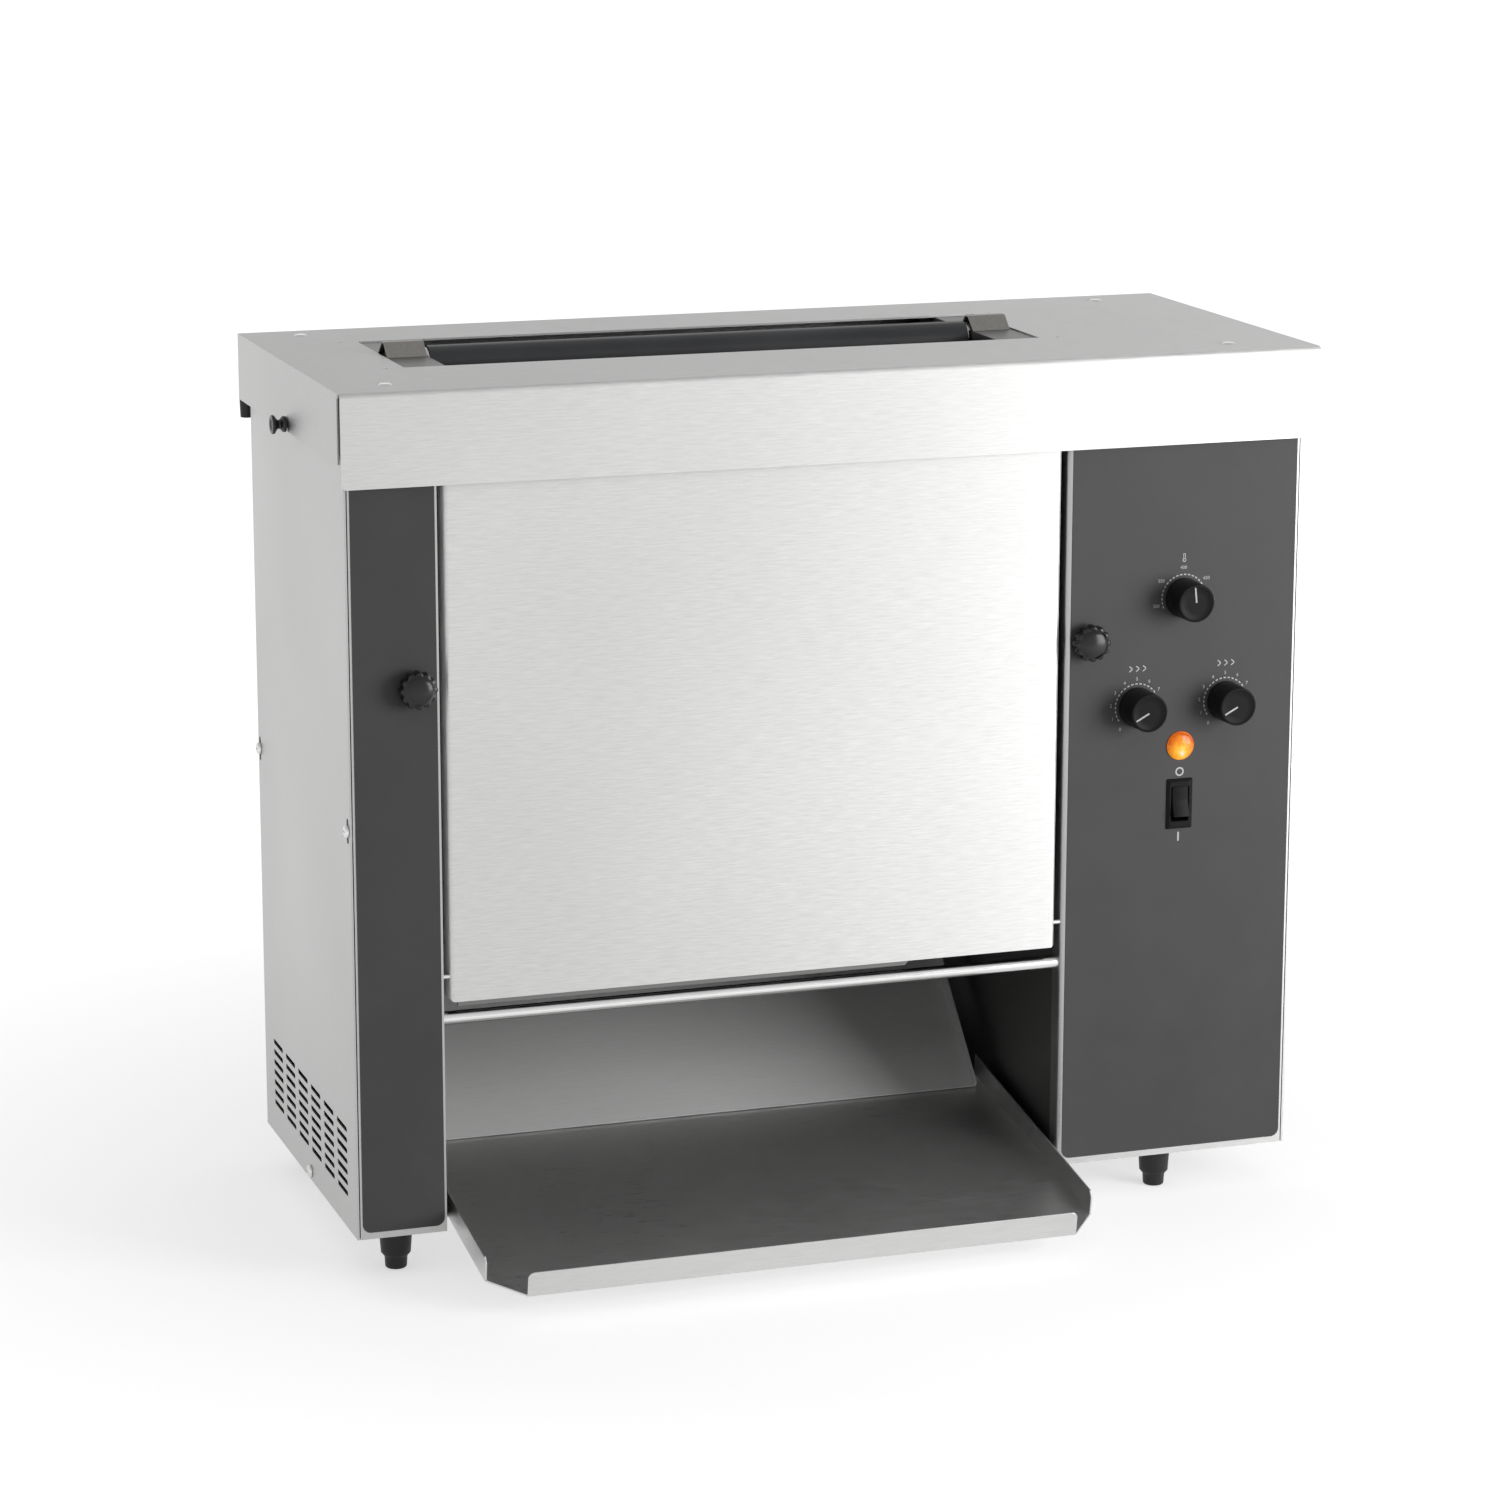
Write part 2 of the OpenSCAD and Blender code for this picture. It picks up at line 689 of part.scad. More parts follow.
// heated platen with bores for the heaters
module platen() {
  color(alu) difference() {
    box(sl + 5, sr - 5, py - platen_t / 2, py + platen_t / 2, platen_foot, ridge_z);
    for (z = heater_z) cyl_x(sl + 12, sr, py, z, heater_r + press_fit);
  }
}

// four blocks that hold the platen between the conveyor plates
module platen_mounts() {
  color(alu) for (x = [sl, sr - 5], i = [0.5, 2.5])
    let (z = zt - 50 - heater_step * i)
    box(x, x + 5, py - 7, py + 7, z - 10, z + 10);
}

// four heater rods with terminal studs in the right compartment
module heating_elements() {
  color(grey) for (z = heater_z) union() {
    cyl_x(sl + 14, wall_r + 20, py, z, heater_r);
    cyl_x(wall_r + 20, wall_r + 30, py, z, 2);
  }
}

// half-round bar along the platen's top, with thin ends over the end caps
module hanger_bar() {
  r = platen_t / 2;
  color(alu) union() {
    plate_x(sl + 1, slot_w - 2) intersection() {
      translate([py, ridge_z]) circle(r = r);
      rect(py - r, ridge_z, py + r, ridge_z + r);
    }
    for (x = [sl - cap_w + 3, sr - 1]) plate_x(x, cap_w - 2) intersection() {
      translate([py, ridge_z]) circle(r = r);
      rect(py - r, cap_z, py + r, ridge_z + r);
    }
  }
}

// thin release sheet draped over the platen
module release_sheet() {
  r1 = cloth_r;
  r0 = cloth_r - cloth_t;
  color(dark) plate_x(sl + 2, slot_w - 4) union() {
    intersection() {
      translate([py, ridge_z]) difference() {
        circle(r = r1);
        circle(r = r0);
      }
      rect(py - r1, ridge_z, py + r1, ridge_z + r1);
    }
    rect(py - r1, platen_foot - 12, py - r0, ridge_z);
    rect(py + r0, platen_foot - 12, py + r1, ridge_z);
  }
}

// tent-shaped clip over one end of the hanger bar
module sheet_clip(x) {
  z = cap_z;
  w = platen_t / 2 + 2.6;
  color(alu) plate_x(x + 0.4, cap_w - 0.8)
    polygon([[py - w, z], [py - 2.6, z + 8.2], [py + 2.6, z + 8.2], [py + w, z], [py + w - 1.6, z],
      [py + 2.1, z + 7], [py - 2.1, z + 7], [py - w + 1.6, z]]);
}

// clip at the left end
module left_sheet_clip() {
  sheet_clip(sl - cap_w);
}

// clip at the right end
module right_sheet_clip() {
  sheet_clip(sr);
}

// side plate of the front belt's carriage
module carriage_plate(x) {
  color(steel) plate_x(x, plate_t) difference() {
    union() {
      rect(yfr - 14, zlo, yfr + 14, zhi);
      for (z = [zlo, zhi]) translate([yfr, z]) circle(r = 14);
    }
    for (z = [zlo, zhi]) translate([yfr, z]) circle(r = shaft_d / 2 + run_fit);
    translate([yfr, adj_z]) square(2 * bar_half + 2 * press_fit, center = true);
  }
}

// carriage plate at the left
module carriage_left_plate() {
  carriage_plate(sl + 5);
}

// carriage plate at the right
module carriage_right_plate() {
  carriage_plate(sr - 5 - plate_t);
}

// bar that joins the carriage plates and takes the adjuster shafts
module carriage_tie_bar() {
  color(alu) difference() {
    box(adj_xl - 8, adj_xr + 8, yfr - bar_half, yfr + bar_half, adj_z - bar_half, adj_z + bar_half);
    for (x = [adj_xl, adj_xr]) cyl_y(yfr - 8, yfr + 8, x, adj_z, adj_r + 0.8);
  }
}

// closed belt around two rollers at the given depth
module belt_loop(y) {
  r0 = belt_r - belt_t;
  color(dark) plate_x(sl + 14, slot_w - 28) difference() {
    union() {
      rect(y - belt_r, zlo, y + belt_r, zhi);
      for (z = [zlo, zhi]) translate([y, z]) circle(r = belt_r);
    }
    rect(y - r0, zlo, y + r0, zhi);
    for (z = [zlo, zhi]) translate([y, z]) circle(r = r0);
  }
}

// belt that carries the crowns
module front_belt() {
  belt_loop(yfr);
}

// belt that carries the heels
module rear_belt() {
  belt_loop(yrr);
}

// roller on a shaft
module roller(x0, x1, y, z) {
  color(alu) union() {
    cyl_x(sl + 12, sr - 12, y, z, roller_d / 2);
    cyl_x(x0, x1, y, z, shaft_d / 2);
  }
}

// lower roller of the front belt
module front_drive_roller() {
  roller(sl - 6, wall_r + sheet + 32, yfr, zlo);
}

// upper roller of the front belt, in the carriage
module front_idler_roller() {
  roller(sl + 3.5, sr - 3.5, yfr, zhi);
}

// lower roller of the rear belt
module rear_drive_roller() {
  roller(sl - 6, wall_r + sheet + 32, yrr, zlo);
}

// upper roller of the rear belt
module rear_idler_roller() {
  roller(sl - 6, sr + 6, yrr, zhi);
}

// gear motor with a hollow output at the given depth
module gear_motor(y) {
  x0 = wall_r + sheet;
  color(grey) difference() {
    union() {
      box(x0, x0 + 34, y - 28, y + 20, zlo - 24, zlo + 24);
      cyl_x(x0 + 34, x0 + 92, y, zlo, 20);
      cyl_x(x0 + 92, x0 + 98, y, zlo, 8);
    }
    cyl_x(x0 - 1, x0 + 33, y, zlo, shaft_d / 2 + run_fit);
  }
}

// motor of the front belt
module front_gear_motor() {
  gear_motor(yfr);
}

// motor of the rear belt
module rear_gear_motor() {
  gear_motor(yrr);
}

// fluted adjuster knob on a long shaft
module adjuster_knob(x) {
  lobes = 12;
  color(dark) union() {
    plate_y(yf - 10.4, 7.4) translate([x, adj_z]) difference() {
      circle(d = adjuster_d);
      for (i = [0:lobes - 1]) rotate(360 / lobes * (i + 0.5))
        translate([adjuster_d / 2 + 0.9, 0]) circle(r = 2.2);
    }
    translate([x, yf - 10.4, adj_z]) rotate([90, 0, 0])
      cylinder(r1 = adjuster_d / 2 - 1.6, r2 = 5.5, h = 2.8);
    cyl_y(yf - 3.2, yf - 0.9, x, adj_z, 7);
    cyl_y(yf - 2, yfr + 18, x, adj_z, adj_r);
  }
}

// adjuster knob on the left front panel
module left_adjuster_knob() {
  adjuster_knob(adj_xl);
}

// adjuster knob on the control panel
module right_adjuster_knob() {
  adjuster_knob(adj_xr);
}

// control knob on its shaft, with a pointer groove turned to the given angle
module control_knob(p, turn) {
  color(dark) union() {
    translate([p[0], yf - 1, p[1]]) rotate([90, -turn, 0]) difference() {
      union() {
        cylinder(r1 = knob_d / 2, r2 = knob_d / 2 - 0.4, h = knob_reach - 1.5);
        translate([0, 0, knob_reach - 1.5]) cylinder(r1 = knob_d / 2 - 0.4, r2 = knob_d / 2 - 1.1, h = 0.8);
      }
      translate([-0.7, 1, knob_reach - 1.3]) cube([1.4, knob_d, 3]);
    }
    cyl_y(yf - 3, yf + sheet + 10, p[0], p[1], shaft_r);
  }
}

// knob that sets the platen's temperature
module temperature_knob() {
  control_knob(control_xz[0], 6);
}

// knob that sets the front belt's speed
module front_speed_knob() {
  control_knob(control_xz[1], 118);
}

// knob that sets the rear belt's speed
module rear_speed_knob() {
  control_knob(control_xz[2], 118);
}

// three potentiometers behind the control panel
module control_pots() {
  color(grey) for (p = control_xz) difference() {
    union() {
      cyl_y(yf + sheet, yf + sheet + 14, p[0], p[1], 9);
      box(p[0] - 7, p[0] + 7, yf + sheet + 3, yf + sheet + 5, p[1] - 17, p[1] - 6);
    }
    cyl_y(yf, yf + sheet + 11, p[0], p[1], shaft_r + run_fit);
  }
}

// domed lens of the pilot lamp
module pilot_lens() {
  color([0.95, 0.55, 0.12]) translate([panel_c, yf - overlay_t, pilot_z]) rotate([90, 0, 0]) union() {
    cylinder(r = lens_d / 2, h = 0.8);
    translate([0, 0, 0.8]) cylinder(r1 = lens_d / 2, r2 = lens_d / 2 - 1.4, h = 1.3);
    translate([0, 0, 2.1]) cylinder(r1 = lens_d / 2 - 1.4, r2 = lens_d / 2 - 4.5, h = 1.2);
  }
}

// barrel of the pilot lamp
module pilot_body() {
  color(dark) union() {
    cyl_y(yf - overlay_t, yf + 24, panel_c, pilot_z, 6);
    cyl_y(yf + sheet, yf + sheet + 3, panel_c, pilot_z, 8.5);
  }
}

// frame and case of the rocker switch
module switch_frame() {
  hw = switch_w / 2;
  hh = switch_h / 2;
  x = panel_c;
  z = switch_z;
  color(dark) difference() {
    union() {
      box(x - hw, x + hw, yf - overlay_t - 1.8, yf - overlay_t, z - hh, z + hh);
      box(x - hw + 1.6, x + hw - 1.6, yf - overlay_t, yf + 20, z - hh + 1.6, z + hh - 1.6);
    }
    box(x - hw + 3, x + hw - 3, yf - 4, yf + 12, z - hh + 5, z + hh - 5);
    cyl_x(x - hw + 2, x + hw - 2, yf + 2, z, 1 + run_fit);
  }
}

// rocker of the power switch, resting with its upper half pressed
module power_rocker() {
  hw = switch_w / 2 - 3.4;
  hh = switch_h / 2 - 6.4;
  color(dark) translate([panel_c, yf + 2, switch_z]) rotate([-10, 0, 0]) union() {
    translate([-hw, 0, 0]) rotate([90, 0, 90]) linear_extrude(2 * hw)
      polygon([[-6.2, -hh], [-4.9, 0], [-6.2, hh], [-1.6, hh], [5, 4], [5, -4], [-1.6, -hh]]);
    cyl_x(-hw - 1.2, hw + 1.2, 0, 0, 1);
  }
}

// control board on spacers inside the right side panel
module control_board() {
  x = xr - sheet - 10;
  y0 = yf + 50;
  z0 = zt - 250;
  color([0.10, 0.30, 0.16]) union() {
    box(x, x + 1.6, y0, y0 + 110, z0, z0 + 130);
    for (y = [y0 + 6, y0 + 104], z = [z0 + 6, z0 + 124]) cyl_x(x + 1.6, xr - sheet, y, z, 3);
    box(x - 18, x, y0 + 14, y0 + 44, z0 + 70, z0 + 100);
    box(x - 24, x, y0 + 58, y0 + 64, z0 + 20, z0 + 100);
    box(x - 12, x, y0 + 20, y0 + 50, z0 + 8, z0 + 18);
    for (i = [0:3]) cyl_x(x - 16, x, y0 + 80, z0 + 24 + 24 * i, 7);
  }
}

// square frame of the cooling fan with its axle
module fan_frame() {
  y1 = yr - sheet;
  y0 = y1 - fan_d;
  color(dark) difference() {
    union() {
      difference() {
        box(panel_c - fan_w / 2, panel_c + fan_w / 2, y0, y1, fan_z - fan_w / 2, fan_z + fan_w / 2);
        cyl_y(y0 - 1, y1 + 1, panel_c, fan_z, fan_w / 2 - 2);
      }
      for (a = [45, 135]) translate([panel_c, y0, fan_z]) rotate([0, a, 0])
        translate([-fan_w / 2 + 1, 0, -2]) cube([fan_w - 2, 3, 4]);
      cyl_y(y0, y0 + 3, panel_c, fan_z, 16);
      cyl_y(y0 + 3, y0 + 20, panel_c, fan_z, 3);
    }
    for (sx = [-1, 1], sz = [-1, 1])
      cyl_y(y0 - 1, y1 + 1, panel_c + sx * (fan_w / 2 - 4.5), fan_z + sz * (fan_w / 2 - 4.5), 2.1);
  }
}

// rotor of the cooling fan
module fan_rotor() {
  y1 = yr - sheet;
  color(dark) translate([panel_c, y1 - fan_d + 4, fan_z]) rotate([-90, 0, 0]) difference() {
    union() {
      cylinder(r = 15, h = 18);
      for (i = [0:6]) rotate([0, 0, i * 360 / 7]) translate([13, 0, 9]) rotate([35, 0, 0])
        translate([0, -0.8, -8]) cube([fan_w / 2 - 17, 1.6, 16]);
    }
    translate([0, 0, -1]) cylinder(r = 3 + run_fit, h = 18);
  }
}

// gland for the supply cord in the rear panel
module cord_gland() {
  color(dark) difference() {
    union() {
      cyl_y(yr - sheet - 4, yr - sheet, gland_x, gland_z, 11);
      cyl_y(yr - sheet, yr, gland_x, gland_z, 8);
      cyl_y(yr, yr + 6, gland_x, gland_z, 11);
      translate([gland_x, yr + 6, gland_z]) rotate([-90, 0, 0]) cylinder(r1 = 10, r2 = 7, h = 10);
    }
    cyl_y(yr - sheet - 5, yr + 17, gland_x, gland_z, gland_r);
  }
}

base_pan();
feet();
left_side_panel();
right_side_panel();
rear_panel();
left_inner_wall();
right_inner_wall();
left_front_panel();
left_front_overlay();
control_panel();
control_overlay();
side_panel_screws();
discharge_chute();
guard_rod();
tray_rails();
bun_tray();
front_door();
door_liner();
door_pins();
top_cover();
cover_rivets();
rear_bumpers();
left_thumb_screw();
right_thumb_screw();
left_conveyor_plate();
right_conveyor_plate();
plate_standoffs();
platen();
platen_mounts();
heating_elements();
hanger_bar();
release_sheet();
left_sheet_clip();
right_sheet_clip();
carriage_left_plate();
carriage_right_plate();
carriage_tie_bar();
front_belt();
front_drive_roller();
front_idler_roller();
rear_belt();
rear_drive_roller();
rear_idler_roller();
front_gear_motor();
rear_gear_motor();
left_adjuster_knob();
right_adjuster_knob();
temperature_knob();
front_speed_knob();
rear_speed_knob();
control_pots();
pilot_lens();
pilot_body();
switch_frame();
power_rocker();
control_board();
fan_frame();
fan_rotor();
cord_gland();
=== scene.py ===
"""Looks of the vertical bun toaster: materials, moulded pieces, printed marks, cloth and belts on the frame."""
import json
import math

import bmesh
import bpy
from mathutils import Matrix, Vector


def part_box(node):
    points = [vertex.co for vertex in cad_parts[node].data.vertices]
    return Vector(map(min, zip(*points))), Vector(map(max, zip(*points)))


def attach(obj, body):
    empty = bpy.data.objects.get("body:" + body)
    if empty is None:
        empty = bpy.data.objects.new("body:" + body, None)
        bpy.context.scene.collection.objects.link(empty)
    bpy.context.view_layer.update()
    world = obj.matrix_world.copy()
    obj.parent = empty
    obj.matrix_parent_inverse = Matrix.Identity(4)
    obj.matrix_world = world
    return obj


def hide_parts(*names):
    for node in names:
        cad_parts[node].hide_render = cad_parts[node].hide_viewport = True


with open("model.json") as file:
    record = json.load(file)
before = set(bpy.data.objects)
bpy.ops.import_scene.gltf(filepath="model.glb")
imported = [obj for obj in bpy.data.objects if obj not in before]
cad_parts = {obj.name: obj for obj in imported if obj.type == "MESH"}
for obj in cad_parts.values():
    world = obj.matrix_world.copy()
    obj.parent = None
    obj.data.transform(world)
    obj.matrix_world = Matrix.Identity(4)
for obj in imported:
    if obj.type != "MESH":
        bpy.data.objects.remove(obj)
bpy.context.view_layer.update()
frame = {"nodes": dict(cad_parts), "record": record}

MM = 0.001
nodes = frame["nodes"]
scene = bpy.context.scene
scene.view_settings.view_transform = "Standard"


# shader helpers
class Shader:
    """A material's node tree, with short calls for the nodes used here."""

    def __init__(self, name):
        self.mat = bpy.data.materials.new(name)
        self.mat.use_nodes = True
        self.tree = self.mat.node_tree
        self.bsdf = next(n for n in self.tree.nodes if n.type == "BSDF_PRINCIPLED")
        self.coord = self.tree.nodes.new("ShaderNodeTexCoord")

    def node(self, kind, **values):
        n = self.tree.nodes.new("ShaderNode" + kind)
        for key, value in values.items():
            setattr(n, key, value)
        return n

    def link(self, a, b):
        self.tree.links.new(a, b)

    def set(self, **values):
        for key, value in values.items():
            self.bsdf.inputs[key.replace("_", " ")].default_value = value

    def mapped(self, scale, place=(0, 0, 0)):
        m = self.node("Mapping")
        m.inputs["Scale"].default_value = scale
        m.inputs["Location"].default_value = place
        self.link(self.coord.outputs["Object"], m.inputs["Vector"])
        return m.outputs["Vector"]

    def noise(self, scale, detail=3.0, rough=0.6, place=(0, 0, 0)):
        n = self.node("TexNoise")
        n.inputs["Scale"].default_value = 1.0
        n.inputs["Detail"].default_value = detail
        n.inputs["Roughness"].default_value = rough
        scale = (scale,) * 3 if isinstance(scale, (int, float)) else scale
        self.link(self.mapped(scale, place), n.inputs["Vector"])
        return n.outputs["Fac"]

    def range(self, value, low, high, to_low, to_high):
        n = self.node("MapRange")
        for i, v in enumerate((low, high, to_low, to_high), 1):
            n.inputs[i].default_value = v
        self.link(value, n.inputs[0])
        return n.outputs[0]

    def math(self, kind, a, b):
        n = self.node("Math", operation=kind)
        for i, v in enumerate((a, b)):
            if isinstance(v, (int, float)):
                n.inputs[i].default_value = v
            else:
                self.link(v, n.inputs[i])
        return n.outputs[0]

    def mix(self, factor, a, b):
        """Mixes two colours, each a tuple or a socket."""
        n = self.node("Mix", data_type="RGBA")
        self.link(factor, n.inputs[0])
        for socket, v in ((n.inputs[6], a), (n.inputs[7], b)):
            if isinstance(v, tuple):
                socket.default_value = (*v, 1)
            else:
                self.link(v, socket)
        return n.outputs[2]

    def colour(self, socket):
        self.link(socket, self.bsdf.inputs["Base Color"])

    def roughness(self, socket):
        self.link(socket, self.bsdf.inputs["Roughness"])

    def bump(self, height, strength, distance):
        n = self.node("Bump")
        n.inputs["Strength"].default_value = strength
        n.inputs["Distance"].default_value = distance
        self.link(height, n.inputs["Height"])
        self.link(n.outputs["Normal"], self.bsdf.inputs["Normal"])


def shade(colour, k):
    """A colour made k times as bright."""
    return tuple(min(1.0, c * k) for c in colour)


# brush marks along each axis, as noise scales in 1/m, and the axes themselves
GRAIN = {"X": (70, 1000, 1000), "Y": (1000, 70, 1000), "Z": (1000, 1000, 70)}
AXIS = {"X": (1, 0, 0), "Y": (0, 1, 0), "Z": (0, 0, 1)}
# the middle of a noise's values, which is spread over the whole range of what it drives
NOISE_LOW, NOISE_HIGH = 0.3, 0.7
# relief of brush marks and of moulded grain, in metres
BRUSH_RELIEF, MOULD_RELIEF = 0.00008, 0.00006


def brushed(name, colour, rough=0.3, along="X", sides="Z", top=1.0, flank_shade=1.0, spread=0.05, bump=0.12,
            stretch=0.0, metal=1.0, gloss=0.5):
    """Brushed sheet steel. Faces that look along X take their grain from sides. As painted shade, faces that
    look along X are darkened by the flank factor and level faces by the top factor, standing in for how light
    falls on them."""
    s = Shader(name)
    s.set(Metallic=metal, Anisotropic=stretch, Specular_IOR_Level=gloss)
    normal = s.node("SeparateXYZ")
    s.link(s.coord.outputs["Normal"], normal.inputs[0])
    aside = s.math("GREATER_THAN", s.math("ABSOLUTE", normal.outputs["X"], 0.0), 0.7)
    fine = s.noise(GRAIN[along], 4.0, 0.7)
    if sides != along:
        other = s.noise(GRAIN[sides], 4.0, 0.7)
        pick = s.node("Mix", data_type="FLOAT")
        s.link(aside, pick.inputs[0])
        s.link(fine, pick.inputs[2])
        s.link(other, pick.inputs[3])
        fine = pick.outputs[0]
    if stretch:
        grain = s.node("VectorMath", operation="CROSS_PRODUCT")
        s.link(s.node("NewGeometry").outputs["Normal"], grain.inputs[0])
        s.link(s.mix(aside, AXIS[along], AXIS[sides]), grain.inputs[1])
        s.link(grain.outputs[0], s.bsdf.inputs["Tangent"])
    cloud = s.noise(5.0, 2.0, 0.5)
    streak = s.range(fine, NOISE_LOW, NOISE_HIGH, 0.0, 1.0)
    shown = s.mix(streak, shade(colour, 1 - spread), shade(colour, 1 + spread))
    shown = s.mix(s.range(cloud, NOISE_LOW, NOISE_HIGH, 0.0, 0.12), shown, shade(colour, 0.8))
    level = s.range(normal.outputs["Z"], 0.55, 0.95, 0.0, 1.0)
    # painted shade: level faces and faces along X are darkened by the top and flank factors, for less light on
    # them
    for mask, tone in ((level, top), (aside, flank_shade)):
        if tone != 1.0:
            painted_shade = s.node("Mix", data_type="RGBA", blend_type="MULTIPLY")
            s.link(mask, painted_shade.inputs[0])
            s.link(shown, painted_shade.inputs[6])
            painted_shade.inputs[7].default_value = (tone, tone, tone, 1)
            shown = painted_shade.outputs[2]
    s.colour(shown)
    s.roughness(s.math("ADD", s.range(fine, NOISE_LOW, NOISE_HIGH, rough - 0.05, rough + 0.06),
                       s.range(cloud, NOISE_LOW, NOISE_HIGH, -0.02, 0.03)))
    s.bump(fine, bump, BRUSH_RELIEF)
    return s.mat


def moulded(name, colour, rough, grain=1800.0, bump=0.15, vary=0.25, **values):
    """Moulded plastic, rubber or paint: fine grain, with some shift in colour and gloss."""
    s = Shader(name)
    s.set(**values)
    fine = s.noise(grain, 3.0, 0.6)
    cloud = s.noise(25.0, 3.0, 0.55)
    blotch = s.range(cloud, NOISE_LOW, NOISE_HIGH, 0.0, 1.0)
    s.colour(s.mix(blotch, shade(colour, 1 - vary), shade(colour, 1 + vary)))
    s.roughness(s.math("ADD", s.range(fine, NOISE_LOW, NOISE_HIGH, rough - 0.04, rough + 0.05),
                       s.range(cloud, NOISE_LOW, NOISE_HIGH, -0.03, 0.04)))
    s.bump(fine, bump, MOULD_RELIEF)
    return s.mat


def amber(name):
    """Lit amber lens: it glows brightest low in the middle, and its base colour carries the same glow as
    painted light, deeper orange towards the rim.
    """
    s = Shader(name)
    low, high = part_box("pilot_lens")
    c = (low + high) / 2
    s.set(Roughness=0.2, Specular_IOR_Level=0.3, Coat_Weight=0.15, Coat_Roughness=0.05, Emission_Strength=0.7)
    glow = s.node("TexGradient", gradient_type="SPHERICAL")
    hot = Vector((c.x, low.y, c.z - 3.6 * MM))
    k = Vector((1, 0.25, 0.85)) / (9.5 * MM)
    s.link(s.mapped(tuple(k), tuple(-hot * k)), glow.inputs["Vector"])
    facets = s.noise((420, 20, 420), 1.0, 0.4)
    heat = s.math("ADD", glow.outputs["Fac"], s.range(facets, NOISE_LOW, NOISE_HIGH, -0.10, 0.10))
    ramp = s.node("ValToRGB")
    marks = ramp.color_ramp.elements
    stops = ((0.0, (0.60, 0.11, 0.0)), (0.22, (0.95, 0.25, 0.002)), (0.5, (1.0, 0.42, 0.006)),
             (0.8, (1.0, 0.74, 0.09)))
    for (at, col), e in zip(stops, (marks[0], marks[1], marks.new(0.5), marks.new(0.6))):
        e.position = at
        e.color = (*col, 1)
    s.link(heat, ramp.inputs[0])
    # painted glow: the base colour is lighter where the bulb's light is strongest and deeper orange towards the
    # rim
    s.colour(s.mix(heat, (0.45, 0.06, 0.0), (0.75, 0.22, 0.01)))
    s.link(ramp.outputs[0], s.bsdf.inputs["Emission Color"])
    return s.mat


def cloth(name):
    """Coated glass cloth: a plain weave under a dark coating."""
    s = Shader(name)
    s.set(Specular_IOR_Level=0.45, Sheen_Weight=0.1)
    waves = []
    for direction in ("X", "Z"):
        w = s.node("TexWave", wave_type="BANDS", bands_direction=direction, wave_profile="SIN")
        w.inputs["Scale"].default_value = 160.0
        w.inputs["Distortion"].default_value = 0.6
        s.link(s.coord.outputs["Object"], w.inputs["Vector"])
        waves.append(w.outputs["Fac"])
    weave = s.math("MULTIPLY", waves[0], waves[1])
    cloud = s.noise(18.0, 4.0, 0.6)
    blotch = s.range(cloud, NOISE_LOW, NOISE_HIGH, 0.0, 1.0)
    s.colour(s.mix(blotch, (0.020, 0.021, 0.024), (0.040, 0.042, 0.046)))
    s.roughness(s.range(weave, 0.0, 1.0, 0.34, 0.48))
    s.bump(weave, 0.25, 0.00012)
    return s.mat


def board(name):
    """Lacquered circuit board with paler tracks."""
    s = Shader(name)
    tracks = s.node("TexBrick", offset=0.35, squash=0.6)
    tracks.inputs["Scale"].default_value = 60.0
    tracks.inputs["Mortar Size"].default_value = 0.03
    s.link(s.coord.outputs["Object"], tracks.inputs["Vector"])
    s.colour(s.mix(tracks.outputs["Fac"], (0.03, 0.15, 0.06), (0.10, 0.30, 0.14)))
    s.roughness(s.range(s.noise(300.0), NOISE_LOW, NOISE_HIGH, 0.25, 0.4))
    return s.mat


